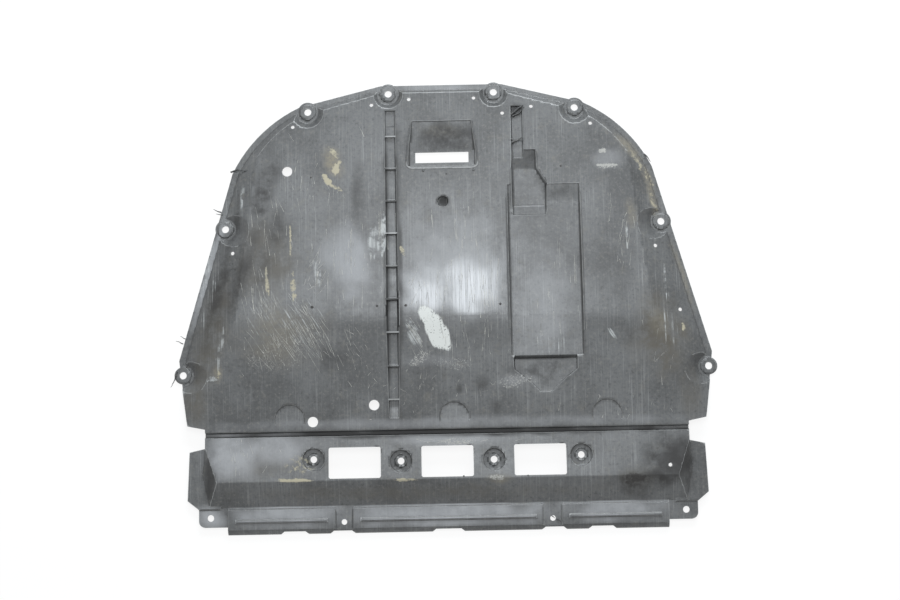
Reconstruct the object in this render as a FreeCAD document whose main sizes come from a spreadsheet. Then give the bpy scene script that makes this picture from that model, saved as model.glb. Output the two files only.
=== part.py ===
# Engine skid plate: one moulded sheet of black plastic, road side up, resting on its rim
import FreeCAD
import Part
import math
import os
import Sketcher

V = FreeCAD.Vector

# Sizes in mm; x runs to the right, y to the front of the car, z up to the road side
SIZES = [
    ("wall", 3.0, "thickness of the moulded sheet"),
    ("base_depth", 40.0, "depth of the working blocks under the sheet"),
    ("work_height", 50.0, "height of the working blocks and cutters above the rim"),
    ("rim_z", 3.0, "top of the flat rim"),
    # outline of the whole sheet, right half
    ("edge_front", 377.5, "front edge"),
    ("edge_knee_x", 102.0, "where the front edge turns"),
    ("edge_arc_x1", 240.0, "front corner arc, front end"),
    ("edge_arc_y1", 343.5, "front corner arc, front end"),
    ("edge_arc_x2", 355.0, "front corner arc, side end"),
    ("edge_arc_y2", 231.0, "front corner arc, side end"),
    ("edge_arc_radius", 239.0, "front corner arc"),
    ("edge_side_x", 446.0, "widest point of the straight side"),
    ("edge_side_y", -85.0, "widest point of the straight side"),
    ("edge_tail_x1", 440.0, "side behind the lower boss"),
    ("edge_tail_y1", -133.0, "side behind the lower boss"),
    ("edge_tail_x2", 430.0, "rear end of the side"),
    ("edge_tail_y2", -195.0, "rear end of the side"),
    ("neck_x", 401.0, "half width at the groove"),
    ("neck_front", -201.0, "front end of the neck"),
    ("neck_rear", -232.0, "rear end of the neck"),
    ("wing_x1", 428.0, "wing, front corner"),
    ("wing_y1", -238.0, "wing, front corner"),
    ("wing_x2", 431.5, "wing, rear corner"),
    ("wing_y2", -318.0, "wing, rear corner"),
    ("tab_x", 413.0, "end tab, outer side"),
    ("tab_y", -333.0, "end tab, front end"),
    ("tab_rear", -362.5, "end tab, rear edge"),
    ("tab_round", 11.0, "end tab, rounded corner"),
    ("skirt_x", 365.0, "half width of the rear skirt"),
    # heights of the road side along the middle, from the front
    ("panel_front_y", 360.0, "front of the panel"),
    ("panel_front_z", 9.0, "height of the panel at its front"),
    ("bend_y", -20.0, "crest of the panel"),
    ("bend_z", 38.0, "height of the crest"),
    ("bend_round", 150.0, "rounding of the crest"),
    ("crease_y", -189.0, "rear end of the sloping panel"),
    ("crease_z", 21.0, "height of the rear end of the panel"),
    ("groove_y", -206.0, "front edge of the cross groove"),
    ("groove_z", 20.0, "edges of the cross groove"),
    ("groove_width", 9.5, "cross groove"),
    ("groove_depth", 7.0, "cross groove"),
    ("strip_y", -289.0, "crest of the rear strip"),
    ("strip_z", 27.0, "height of the rear strip's crest"),
    ("strip_round", 5.0, "rounding of the rear strip's crest"),
    ("slope_y", -330.0, "foot of the rear slope"),
    ("skirt_z", 9.0, "top of the rear skirt"),
    ("skirt_y", -369.5, "rear end of the skirt"),
    ("lip_y", -380.5, "rear end of the lip"),
    ("lip_round", 3.0, "rounding over the lip"),
    # raised panel inside the rim
    ("bead_front", 369.5, "foot of the panel's front wall"),
    ("bead_knee_x", 99.0, "where the wall's foot turns"),
    ("bead_arc_x1", 236.0, "wall at the front corner, front end"),
    ("bead_arc_y1", 335.5, "wall at the front corner, front end"),
    ("bead_arc_x2", 345.0, "wall at the front corner, side end"),
    ("bead_arc_y2", 228.0, "wall at the front corner, side end"),
    ("bead_arc_radius", 229.0, "wall at the front corner"),
    ("bead_rear_x", 486.0, "wall's line carried on to the rear"),
    ("bead_rear_y", -265.0, "wall's line carried on to the rear"),
    ("bead_angle", 45.0, "lean of the panel's wall in degrees"),
    ("band_foot", 14.0, "foot of the side band, in from the edge"),
    ("band_foot_z", 7.0, "height of the side band's foot"),
    ("band_angle", 26.5, "slope of the side bands in degrees"),
    ("end_top_x", 381.0, "strip's end wall, top rear corner"),
    ("end_yaw", 12.0, "turn of the strip's end wall in degrees"),
    ("end_angle", 38.0, "slope of the strip's end wall in degrees"),
    ("wing_z", 10.0, "top of the wings"),
    ("tab_z", 8.5, "top of the end tabs"),
    # bosses round the rim and along the strip, right side
    ("boss_a_x", 226.5, "front outer boss"),
    ("boss_a_y", 334.5, "front outer boss"),
    ("boss_b_x", 89.5, "front inner boss"),
    ("boss_b_y", 363.5, "front inner boss"),
    ("boss_c_x", 367.5, "side boss"),
    ("boss_c_y", 136.0, "side boss"),
    ("boss_d_x", 439.5, "rear side boss"),
    ("boss_d_y", -109.5, "rear side boss"),
    ("lobe_r", 17.0, "round of the rim about a boss"),
    ("lobe_d_r", 14.5, "round of the rim about the rear side boss"),
    ("boss_r", 13.5, "boss pad"),
    ("boss_rise", 1.5, "boss pad above the rim"),
    ("boss_hole_r", 6.0, "hole in a boss"),
    ("scallop_r", 19.0, "foot of the wall round a boss"),
    ("scallop_rise", 30.0, "height of the scallop's cone"),
    ("cup_out_x", 221.5, "outer round recess of the strip"),
    ("cup_out_y", -253.5, "outer round recess of the strip"),
    ("cup_in_x", 77.0, "inner round recess of the strip"),
    ("cup_in_y", -258.5, "inner round recess of the strip"),
    ("cup_r", 18.5, "round recess"),
    ("cup_floor", 16.0, "floor of the round recess"),
    ("cup_sleeve_r", 9.5, "raised ring round the hole in the recess"),
    ("cup_sleeve_rise", 1.5, "raised ring above the floor of the recess"),
    ("cup_hole_r", 5.5, "hole in the recess"),
    ("tab_hole_x", 393.5, "hole in the end tab"),
    ("tab_hole_y", -347.0, "hole in the end tab"),
    ("tab_hole_r", 5.5, "hole in the end tab"),
    ("skirt_hole_x", 172.5, "hole between the skirt's panels"),
    ("skirt_hole_y", -357.0, "hole between the skirt's panels"),
    ("skirt_hole_r", 4.5, "hole between the skirt's panels"),
    # troughs pressed into the panel
    ("trough_draft", 0.16, "lean of trough walls, sideways per mm of height"),
    ("duct_x", -87.0, "ribbed channel, middle"),
    ("duct_half", 7.5, "ribbed channel, half width of its floor"),
    ("duct_draft", 0.33, "lean of the ribbed channel's walls"),
    ("duct_front", 333.0, "ribbed channel, front end"),
    ("duct_front_z", 6.0, "floor there"),
    ("duct_bend_z", 26.0, "floor under the crest"),
    ("duct_wedge_y", -169.0, "foot of the end wedge"),
    ("duct_wedge_z", 18.5, "floor there"),
    ("duct_rear", -187.0, "rear end"),
    ("rib_first", 288.0, "first cross rib"),
    ("rib_pitch", 55.6, "spacing of cross ribs"),
    ("rib_count", 9, "cross ribs"),
    ("rib_thick", 2.6, "cross rib"),
    ("scoop_half_front", 50.0, "scoop, half width at the front"),
    ("scoop_half", 55.0, "scoop, half width of its floor"),
    ("scoop_front", 314.0, "scoop, front end"),
    ("scoop_front_z", 11.0, "floor there"),
    ("scoop_foot", 263.0, "foot of the ramp"),
    ("scoop_floor", 4.0, "floor of the scoop"),
    ("scoop_rear", 236.0, "rear wall of the scoop"),
    ("mouth_half", 45.0, "opening in the scoop, half width"),
    ("mouth_front", 261.5, "opening, front edge"),
    ("mouth_rear", 243.5, "opening, rear edge"),
    ("slot_x1", 119.5, "short slot, left side of its floor"),
    ("slot_x2", 136.0, "short slot, right side of its floor"),
    ("slot_front", 337.0, "short slot, front end"),
    ("slot_front_z", 5.0, "floor there"),
    ("slot_rear", 247.0, "short slot, rear end"),
    ("slot_rear_z", 10.0, "floor there"),
    ("pit_x1", 118.0, "deep pocket, left side"),
    ("pit_x2", 157.5, "deep pocket, right side at the front"),
    ("pit_x3", 173.5, "deep pocket, right side at the rear"),
    ("pit_front", 261.0, "deep pocket, front edge"),
    ("pit_front_z", 14.5, "floor there"),
    ("pit_foot", 229.0, "foot of the front wall"),
    ("pit_flare", 203.0, "end of the flare"),
    ("pit_floor", 6.0, "floor of the deep pocket"),
    ("pit_rise", 167.0, "foot of the rear ramp"),
    ("pit_rear", 149.0, "rear edge"),
    ("bay_x1", 109.5, "wide channel, left side"),
    ("bay_x2", 229.5, "wide channel, right side"),
    ("bay_front", 201.0, "wide channel, front of its ramp"),
    ("bay_front_z", 20.0, "floor there"),
    ("bay_foot", 170.0, "foot of the ramp"),
    ("bay_foot_z", 16.5, "floor there"),
    ("bay_bend_z", 30.5, "floor under the crest"),
    ("bay_rear", -88.0, "rear lip of the wide channel"),
    ("bay_rear_z", 30.8, "floor there"),
    ("vent_x1", 115.0, "outlet, left side at the lip"),
    ("vent_x2", 217.5, "outlet, right side at the lip"),
    ("vent_step", 5.0, "plan width of the step under the lip"),
    ("vent_floor", 22.5, "outlet floor at the lip"),
    ("vent_mid", -111.0, "where the outlet starts to narrow"),
    ("vent_mid_z", 24.0, "floor there"),
    ("vent_neck", -133.0, "narrow part of the outlet"),
    ("vent_neck_z", 25.0, "floor there"),
    ("vent_neck_x1", 142.0, "narrow part, left side"),
    ("vent_neck_x2", 190.0, "narrow part, right side"),
    ("vent_rear", -150.0, "rear end of the outlet"),
    ("vent_rear_z", 24.8, "floor there"),
    ("vent_rear_half", 8.0, "half width there"),
    # half round pads by the crease
    ("pad_left_x", -260.5, "left pad"),
    ("pad_mid_x", 12.5, "middle pad"),
    ("pad_right_x", 266.0, "right pad"),
    ("pad_y", -187.0, "pads, middle"),
    ("pad_r", 25.0, "pads"),
    ("pad_z", 20.6, "floor of the pads"),
    # windows, skirt panels and lip
    ("window_width", 86.0, "window"),
    ("window_length", 51.0, "window"),
    ("window_pitch", 153.5, "spacing of windows"),
    ("window_y", -260.0, "windows, middle"),
    ("window_round", 3.5, "window corners"),
    ("plate_gap_x1", 158.0, "skirt tab, inner side"),
    ("plate_gap_x2", 187.0, "skirt tab, outer side"),
    ("plate_front", -334.0, "raised plates of the skirt, front"),
    ("plate_rear", -368.0, "raised plates of the skirt, rear"),
    ("plate_rise", 1.6, "raised plates above the skirt"),
    ("plate_inset", 12.0, "ends of the long ribs, in from the plate"),
    ("bar_front", -350.0, "long ribs, front"),
    ("bar_rear", -356.5, "long ribs, rear"),
    ("bar_rise", 2.2, "long ribs above the plates"),
    ("notch_depth_y", -371.0, "bottom of the lip's notches"),
    ("notch_mid_half", 21.0, "middle notch"),
    ("notch_x1", 160.0, "second notch"),
    ("notch_x2", 190.0, "second notch"),
    ("notch_x3", 237.0, "third notch"),
    ("notch_x4", 272.0, "third notch"),
    ("notch_lean", 7.0, "slope of the notch ends"),
    # drain and fixing holes in the panel
    ("access_r", 8.5, "access hole"),
    ("drain_r", 3.0, "drain hole"),
    ("disc_y", 174.0, "blind recess in the middle"),
    ("disc_r", 9.5, "blind recess"),
    ("disc_floor", 14.0, "floor of the blind recess"),
]

# Access holes and drain holes, as x and y; those of the front panel are square to it
PANEL_ACCESS_HOLES = [(-261.0, 230.5)]
ACCESS_HOLES = [(-120.0, -165.5), (-222.0, -191.5)]
PANEL_DRAIN_HOLES = [
    (-251.5, 307.5), (-118.0, 343.5), (-54.5, 352.5), (55.5, 353.0), (103.5, 325.5), (152.5, 336.5), (252.0, 305.0),
]
DRAIN_HOLES = [(-353.5, 93.0), (355.0, 93.0), (393.5, -15.0), (367.5, -273.0)]

doc = FreeCAD.newDocument("skid_plate")
sheet = doc.addObject("Spreadsheet::Sheet", "sizes")
for row, (alias, value, note) in enumerate(SIZES, start=1):
    sheet.set(f"A{row}", note)
    sheet.set(f"B{row}", str(value))
    sheet.setAlias(f"B{row}", alias)
doc.recompute()


def size(alias):
    return float(sheet.get(alias))


def cell(alias, sign=""):
    return f"{sign}sizes.{alias}"


def value_of(expression):
    found = sheet.evalExpression(expression.replace("sizes.", ""))
    return float(getattr(found, "Value", found))


def fix_point(sketch, geo, end, x_text, y_text):
    """Holds one end of a line or arc at a place given by two expressions."""
    for kind, text in (("DistanceX", x_text), ("DistanceY", y_text)):
        number = sketch.addConstraint(Sketcher.Constraint(kind, -1, 1, geo, end, value_of(text)))
        sketch.setExpression(f"Constraints[{number}]", text)


def draw(sketch, points):
    """Draws a closed outline; a point is (x, y), or (x, y, radius) where an arc leads on from it."""
    spots = [V(value_of(p[0]), value_of(p[1]), 0) for p in points]
    count = len(points)
    for i, point in enumerate(points):
        a, b = spots[i], spots[(i + 1) % count]
        if len(point) == 2:
            sketch.addGeometry(Part.LineSegment(a, b))
            continue
        radius = value_of(point[2])
        chord = b - a
        rise = math.sqrt(radius ** 2 - (chord.Length / 2) ** 2)
        outward = V(-chord.y, chord.x, 0).normalize()
        middle = (a + b) / 2 + outward * (radius - rise)
        sketch.addGeometry(Part.ArcOfCircle(a, middle, b))
    for i, point in enumerate(points):
        arc_before = len(points[i - 1]) == 3
        before = (i - 1) % count
        end_before = end_of(sketch, before, spots[i]) if arc_before else 2
        start_here = end_of(sketch, i, spots[i]) if len(point) == 3 else 1
        sketch.addConstraint(Sketcher.Constraint("Coincident", before, end_before, i, start_here))
        fix_point(sketch, i, start_here, point[0], point[1])
    for i, point in enumerate(points):
        if len(point) == 3:
            number = sketch.addConstraint(Sketcher.Constraint("Radius", i, value_of(point[2])))
            sketch.setExpression(f"Constraints[{number}]", point[2])


def end_of(sketch, geo, spot):
    """Which end of an arc lies at a spot; arcs are kept anticlockwise, so either may be the start."""
    return 1 if (sketch.getPoint(geo, 1) - spot).Length < 1e-6 else 2


def body_sketch(name, role, points):
    body = doc.addObject("PartDesign::Body", name)
    sketch = body.newObject("Sketcher::SketchObject", name + "_sketch")
    plane = next(f for f in body.Origin.OriginFeatures if f.Role == role)
    sketch.AttachmentSupport = [(plane, "")]
    sketch.MapMode = "FlatFace"
    draw(sketch, points)
    doc.recompute()
    return body, sketch


def pad_body(name, role, points, length, start=None, midplane=False):
    """A padded outline; start moves it along z."""
    body, sketch = body_sketch(name, role, points)
    pad = body.newObject("PartDesign::Pad", name + "_pad")
    pad.Profile = sketch
    pad.setExpression("Length", length)
    pad.Midplane = midplane
    sketch.Visibility = False
    doc.recompute()
    if start:
        body.setExpression("Placement.Base.z", start)
    return body


def round_edges(body, radius, wanted):
    """Rounds the edges of a body that a test picks."""
    doc.recompute()
    base = body.Tip
    names = [f"Edge{i}" for i, e in enumerate(base.Shape.Edges, start=1) if wanted(e)]
    fillet = body.newObject("PartDesign::Fillet", body.Name + "_round")
    fillet.Base = (base, names)
    fillet.setExpression("Radius", radius)
    doc.recompute()


def along_x_at(y_alias, z_alias):
    """A test for the edge along x at one height of the profile."""
    y, z = size(y_alias), size(z_alias)

    def test(edge):
        middle = edge.CenterOfMass
        straight = abs(edge.Vertexes[0].X - edge.Vertexes[-1].X) > 1
        return straight and abs(middle.y - y) < 0.01 and abs(middle.z - z) < 0.01

    return test


def upright(edge):
    a, b = edge.Vertexes[0].Point, edge.Vertexes[-1].Point
    return abs(a.x - b.x) < 1e-6 and abs(a.y - b.y) < 1e-6


def mirrored(points):
    """An outline from its right half, given from the front middle round to the rear middle."""
    left = []
    for i, point in enumerate(reversed(points)):
        x_text = "-(" + point[0] + ")"
        radius = points[len(points) - 2 - i][2:] if i < len(points) - 1 else ()
        left.append((x_text, point[1], *radius))
    return [tuple(p) for p in points] + left


def cut(name, base, tools):
    tool = tools[0] if len(tools) == 1 else fuse(name + "_tools", tools)
    node = doc.addObject("Part::Cut", name)
    node.Base = base
    node.Tool = tool
    return node


def fuse(name, shapes):
    node = doc.addObject("Part::MultiFuse", name)
    node.Shapes = shapes
    return node


def common(name, shapes):
    node = doc.addObject("Part::MultiCommon", name)
    node.Shapes = shapes
    return node


def box(name, x, y, z, length, width, height):
    """A box from its low corner; every value is an expression."""
    node = doc.addObject("Part::Box", name)
    for prop, text in (("Length", length), ("Width", width), ("Height", height)):
        node.setExpression(prop, text)
    for axis, text in zip("xyz", (x, y, z)):
        node.setExpression(f"Placement.Base.{axis}", text)
    return node


def cylinder(name, x, y, z, radius, height):
    node = doc.addObject("Part::Cylinder", name)
    node.setExpression("Radius", radius)
    node.setExpression("Height", height)
    for axis, text in zip("xyz", (x, y, z)):
        node.setExpression(f"Placement.Base.{axis}", text)
    return node


def cone(name, x, y, z, radius, rise):
    """A scallop: a cone that opens upward at 45 degrees."""
    node = doc.addObject("Part::Cone", name)
    node.setExpression("Radius1", radius)
    node.setExpression("Radius2", f"{radius} + {rise}")
    node.setExpression("Height", rise)
    for axis, text in zip("xyz", (x, y, z)):
        node.setExpression(f"Placement.Base.{axis}", text)
    return node


def trough(name, sections, draft, grow):
    """A cavity lofted through cross sections of (y, left x, right x, floor z), grown by the wall for its outside."""
    swell = cell("wall") if grow else "0 * sizes.wall"
    rise = cell("work_height")
    faces = []
    for i, (y, left, right, floor) in enumerate(sections):
        sketch = doc.addObject("Sketcher::SketchObject", f"{name}_{i}")
        foot = f"{floor} - {swell}"
        lean = f"{draft} * {rise}"
        low_left, low_right = f"{left} - {swell}", f"{right} + {swell}"
        top_z = f"{foot} + {rise}"
        draw(sketch, [
            (low_left, foot),
            (low_right, foot),
            (f"{low_right} + {lean}", top_z),
            (f"{low_left} - {lean}", top_z),
        ])
        sketch.Placement = FreeCAD.Placement(V(0, 0, 0), FreeCAD.Rotation(V(1, 0, 0), 90))
        shift = {0: f" + {swell}", len(sections) - 1: f" - {swell}"}.get(i, "")
        sketch.setExpression("Placement.Base.y", y + shift)
        sketch.Visibility = False
        faces.append(sketch)
    loft = doc.addObject("Part::Loft", name)
    loft.Sections = faces
    loft.Solid = True
    loft.Ruled = True
    return loft


def slope_cutter(name, spot, yaw, angle):
    """A block lying on a sloping plane through a spot; yaw turns its foot line, angle is its fall outward."""
    node = doc.addObject("Part::Box", name)
    node.Length, node.Width, node.Height = 1200, 300, 200
    turn = FreeCAD.Rotation(V(0, 0, 1), yaw)
    tilt = FreeCAD.Rotation(V(1, 0, 0), -angle)
    rotation = turn * tilt
    node.Placement = FreeCAD.Placement(spot - rotation.multVec(V(600, 100, 0)), rotation)
    return node


def both_sides(name, make):
    """Makes a thing on the right and on the left."""
    return [make(name + "_right", ""), make(name + "_left", "-")]


# Outline of the whole sheet, and the blocks cut to it
OUTLINE = [
    (cell("edge_knee_x"), cell("edge_front")),
    (cell("edge_arc_x1"), cell("edge_arc_y1"), cell("edge_arc_radius")),
    (cell("edge_arc_x2"), cell("edge_arc_y2")),
    (cell("edge_side_x"), cell("edge_side_y")),
    (cell("edge_tail_x1"), cell("edge_tail_y1")),
    (cell("edge_tail_x2"), cell("edge_tail_y2")),
    (cell("neck_x"), cell("neck_front")),
    (cell("neck_x"), cell("neck_rear")),
]
BEAD = [
    (cell("bead_knee_x"), cell("bead_front")),
    (cell("bead_arc_x1"), cell("bead_arc_y1"), cell("bead_arc_radius")),
    (cell("bead_arc_x2"), cell("bead_arc_y2")),
    (cell("bead_rear_x"), cell("bead_rear_y")),
]
SIDE_BOSSES = ("boss_a", "boss_b", "boss_c", "boss_d")
LOW = cell("base_depth", "-")


def make_profile():
    """The road side seen from the side, carried across the whole width."""
    groove_rear = "sizes.groove_y - sizes.groove_width"
    groove_low = "sizes.groove_z - sizes.groove_depth"
    front_y = "sizes.edge_front + 10"
    slope = "(sizes.bend_z - sizes.panel_front_z) / (sizes.panel_front_y - sizes.bend_y)"
    front_z = f"sizes.panel_front_z - ({front_y} - sizes.panel_front_y) * {slope}"
    points = [
        (front_y, LOW),
        (front_y, front_z),
        (cell("bend_y"), cell("bend_z")),
        (cell("crease_y"), cell("crease_z")),
        (cell("groove_y"), cell("groove_z")),
        ("sizes.groove_y - 2", groove_low),
        (f"{groove_rear} + 2", groove_low),
        (groove_rear, cell("groove_z")),
        (cell("strip_y"), cell("strip_z")),
        (cell("slope_y"), cell("skirt_z")),
        (cell("skirt_y"), cell("skirt_z")),
        (cell("lip_y"), cell("rim_z")),
        (cell("lip_y"), LOW),
    ]
    body = pad_body("profile", "YZ_Plane", points, "2 * sizes.edge_side_x + 40", midplane=True)
    for y_alias, z_alias, radius in (
        ("bend_y", "bend_z", "bend_round"),
        ("strip_y", "strip_z", "strip_round"),
        ("slope_y", "skirt_z", "strip_round"),
        ("skirt_y", "skirt_z", "lip_round"),
    ):
        round_edges(body, cell(radius), along_x_at(y_alias, z_alias))
    return body


def make_plan():
    """The main sheet's outline with its lobes round the bosses."""
    depth = "sizes.base_depth + sizes.work_height"
    blank = pad_body("plan_blank", "XY_Plane", mirrored(OUTLINE), depth, LOW)
    lobes = []
    for boss in SIDE_BOSSES:
        radius = cell("lobe_d_r") if boss == "boss_d" else cell("lobe_r")

        def lobe(name, sign):
            return cylinder(name, cell(boss + "_x", sign), cell(boss + "_y"), LOW, radius, depth)

        lobes += both_sides(boss + "_lobe", lobe)
    return fuse("plan", [blank] + lobes)


def make_panel(profile, plan):
    """The raised panel: leaning front wall, sloping side bands and a scallop round each boss."""
    blank, sketch = body_sketch("bead_blank", "XY_Plane", mirrored(BEAD))
    pad = blank.newObject("PartDesign::Pad", "bead_pad")
    pad.Profile = sketch
    pad.setExpression("Length", cell("work_height"))
    pad.setExpression("TaperAngle", cell("bead_angle", "-"))
    blank.setExpression("Placement.Base.z", cell("rim_z"))
    foot = box("bead_foot", "-sizes.edge_side_x - 50", "sizes.neck_rear", LOW,
               "2 * sizes.edge_side_x + 100", "sizes.edge_front - sizes.neck_rear + 50",
               "sizes.base_depth + sizes.rim_z")
    low = common("rim_block", [plan, foot])
    high = common("panel_block", [profile, plan, blank])
    run = V(size("edge_side_x") - size("edge_arc_x2"), size("edge_side_y") - size("edge_arc_y2"), 0)
    yaw = math.degrees(math.atan2(run.y, run.x))
    inward = V(run.y, -run.x, 0).normalize()
    cutters = []
    for side in (1, -1):
        spot = V(size("edge_side_x"), size("edge_side_y"), 0) + inward * size("band_foot")
        spot = V(side * spot.x, spot.y, size("band_foot_z"))
        turn = side * yaw
        cutters.append(slope_cutter(f"band_cutter_{len(cutters)}", spot, turn, size("band_angle")))
    for boss in SIDE_BOSSES:

        def scallop(name, sign):
            return cone(name, cell(boss + "_x", sign), cell(boss + "_y"), cell("rim_z"),
                        cell("scallop_r"), cell("scallop_rise"))

        cutters += both_sides(boss + "_scallop", scallop)
    return [low, cut("panel", high, cutters)]


def make_strip(profile):
    """The rear strip with its leaning ends, its wings and its end tabs."""
    depth = "sizes.base_depth + sizes.work_height"
    block = pad_body("strip_block", "XY_Plane", [
        ("-sizes.neck_x", "sizes.groove_y - 3"),
        (cell("neck_x"), "sizes.groove_y - 3"),
        (cell("neck_x"), cell("neck_rear")),
        (cell("tab_x"), cell("slope_y")),
        (cell("skirt_x"), cell("slope_y")),
        (cell("skirt_x"), cell("lip_y")),
        (cell("skirt_x", "-"), cell("lip_y")),
        (cell("skirt_x", "-"), cell("slope_y")),
        (cell("tab_x", "-"), cell("slope_y")),
        (cell("neck_x", "-"), cell("neck_rear")),
    ], depth, LOW)
    high = common("strip_high", [profile, block])
    cutters = []
    for side in (1, -1):
        spot = V(side * size("end_top_x"), size("strip_y"), size("strip_z"))
        turn = 90 + size("end_yaw")
        turn = -turn if side == 1 else turn
        cutters.append(slope_cutter(f"end_cutter_{len(cutters)}", spot, turn, size("end_angle")))
    ends = []
    for name, sign in (("right", ""), ("left", "-")):
        wing = [
            (f"{sign}(sizes.neck_x - 25)", "sizes.groove_y - 3"),
            (cell("neck_x", sign), "sizes.groove_y - 3"),
            (cell("neck_x", sign), cell("neck_rear")),
            (cell("wing_x1", sign), cell("wing_y1")),
            (cell("wing_x2", sign), cell("wing_y2")),
            (cell("tab_x", sign), cell("tab_y")),
            (f"{sign}(sizes.neck_x - 25)", cell("tab_y")),
        ]
        ends.append(pad_body(f"wing_{name}", "XY_Plane", wing, "sizes.base_depth + sizes.wing_z", LOW))
        tab = [
            (f"{sign}(sizes.skirt_x - 5)", cell("slope_y")),
            (cell("tab_x", sign), cell("slope_y")),
            (cell("tab_x", sign), cell("tab_rear")),
            (f"{sign}(sizes.skirt_x - 5)", cell("tab_rear")),
        ]
        ends.append(pad_body(f"tab_{name}", "XY_Plane", tab, "sizes.base_depth + sizes.tab_z", LOW))
        corner = V(value_of(cell("tab_x", sign)), size("tab_rear"), 0)
        round_edges(ends[-1], cell("tab_round"),
                    lambda e: upright(e) and math.hypot(e.CenterOfMass.x - corner.x,
                                                        e.CenterOfMass.y - corner.y) < 0.01)
    return [cut("strip", high, cutters)] + ends


# Troughs of the panel, as cross sections of (y, left x, right x, floor z)
PANEL_SLOPE = "(sizes.bend_z - sizes.panel_front_z) / (sizes.panel_front_y - sizes.bend_y)"
DUCT_LEFT = "sizes.duct_x - sizes.duct_half"
DUCT_RIGHT = "sizes.duct_x + sizes.duct_half"
DUCT = [
    (cell("duct_front"), DUCT_LEFT, DUCT_RIGHT, cell("duct_front_z")),
    (cell("bend_y"), DUCT_LEFT, DUCT_RIGHT, cell("duct_bend_z")),
    (cell("duct_wedge_y"), DUCT_LEFT, DUCT_RIGHT, cell("duct_wedge_z")),
    (cell("duct_rear"), DUCT_LEFT, DUCT_RIGHT, cell("crease_z")),
]
SCOOP = [
    (cell("scoop_front"), cell("scoop_half_front", "-"), cell("scoop_half_front"), cell("scoop_front_z")),
    (cell("scoop_foot"), cell("scoop_half", "-"), cell("scoop_half"), cell("scoop_floor")),
    (cell("scoop_rear"), cell("scoop_half", "-"), cell("scoop_half"), cell("scoop_floor")),
]
SLOT = [
    (cell("slot_front"), cell("slot_x1"), cell("slot_x2"), cell("slot_front_z")),
    (cell("slot_rear"), cell("slot_x1"), cell("slot_x2"), cell("slot_rear_z")),
]
PIT = [
    (cell("pit_front"), cell("pit_x1"), cell("pit_x2"), cell("pit_front_z")),
    (cell("pit_foot"), cell("pit_x1"), cell("pit_x2"), cell("pit_floor")),
    (cell("pit_flare"), cell("pit_x1"), cell("pit_x3"), cell("pit_floor")),
    (cell("pit_rise"), cell("pit_x1"), cell("pit_x3"), cell("pit_floor")),
    (cell("pit_rear"), cell("pit_x1"), cell("pit_x3"), "sizes.bay_foot_z + 1.2"),
]
BAY = [
    (cell("bay_front"), cell("bay_x1"), cell("bay_x2"), cell("bay_front_z")),
    (cell("bay_foot"), cell("bay_x1"), cell("bay_x2"), cell("bay_foot_z")),
    (cell("bend_y"), cell("bay_x1"), cell("bay_x2"), cell("bay_bend_z")),
    (cell("bay_rear"), cell("bay_x1"), cell("bay_x2"), cell("bay_rear_z")),
]
VENT_MIDDLE = "(sizes.vent_neck_x1 + sizes.vent_neck_x2) / 2"
VENT = [
    (cell("bay_rear"), cell("vent_x1"), cell("vent_x2"), cell("bay_rear_z")),
    ("sizes.bay_rear - sizes.vent_step", cell("vent_x1"), cell("vent_x2"), cell("vent_floor")),
    (cell("vent_mid"), cell("vent_x1"), cell("vent_x2"), cell("vent_mid_z")),
    (cell("vent_neck"), cell("vent_neck_x1"), cell("vent_neck_x2"), cell("vent_neck_z")),
    (cell("vent_rear"), f"{VENT_MIDDLE} - sizes.vent_rear_half", f"{VENT_MIDDLE} + sizes.vent_rear_half",
     cell("vent_rear_z")),
]
TROUGHS = [
    ("scoop", SCOOP, cell("trough_draft")),
    ("slot", SLOT, cell("duct_draft")),
    ("pit", PIT, cell("trough_draft")),
    ("bay", BAY, cell("trough_draft")),
    ("vent", VENT, cell("duct_draft")),
]
CUPS = ("cup_out", "cup_in")


def make_ribs():
    """The cross ribs that stay standing in the ribbed channel."""
    half = "2 * sizes.duct_half"
    body = pad_body("ribs", "XY_Plane", [
        (f"sizes.duct_x - {half}", "sizes.rib_first - sizes.rib_thick / 2"),
        (f"sizes.duct_x + {half}", "sizes.rib_first - sizes.rib_thick / 2"),
        (f"sizes.duct_x + {half}", "sizes.rib_first + sizes.rib_thick / 2"),
        (f"sizes.duct_x - {half}", "sizes.rib_first + sizes.rib_thick / 2"),
    ], "sizes.bend_z")
    pattern = body.newObject("PartDesign::LinearPattern", "rib_row")
    pattern.Originals = [body.Tip]
    pattern.Direction = (next(f for f in body.Origin.OriginFeatures if f.Role == "Y_Axis"), [""])
    pattern.Reversed = True
    pattern.setExpression("Length", "sizes.rib_pitch * (sizes.rib_count - 1)")
    pattern.setExpression("Occurrences", cell("rib_count"))
    body.Tip = pattern
    doc.recompute()
    return body


def make_cavities(grow):
    """All hollows of the road side; grown by the wall they are the outsides of the same hollows."""
    tag = "outer" if grow else "inner"
    swell = cell("wall") if grow else "0 * sizes.wall"
    found = [trough(f"{name}_{tag}", sections, draft, grow) for name, sections, draft in TROUGHS]
    duct = trough(f"duct_{tag}", DUCT, cell("duct_draft"), grow)
    found.append(duct if grow else cut("duct_ribbed", duct, [make_ribs()]))
    for name in ("pad_left", "pad_mid", "pad_right"):
        found.append(cylinder(f"{name}_{tag}", cell(name + "_x"), cell("pad_y"), f"sizes.pad_z - {swell}",
                              f"sizes.pad_r + {swell}", cell("work_height")))
    for cup in CUPS:

        def recess(name, sign):
            return cylinder(name, cell(cup + "_x", sign), cell(cup + "_y"), f"sizes.cup_floor - {swell}",
                            f"sizes.cup_r + {swell}", cell("work_height"))

        found += both_sides(f"{cup}_{tag}", recess)
    found.append(cylinder(f"disc_{tag}", "0 * sizes.wall", cell("disc_y"), f"sizes.disc_floor - {swell}",
                          f"sizes.disc_r + {swell}", cell("work_height")))
    return found


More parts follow.
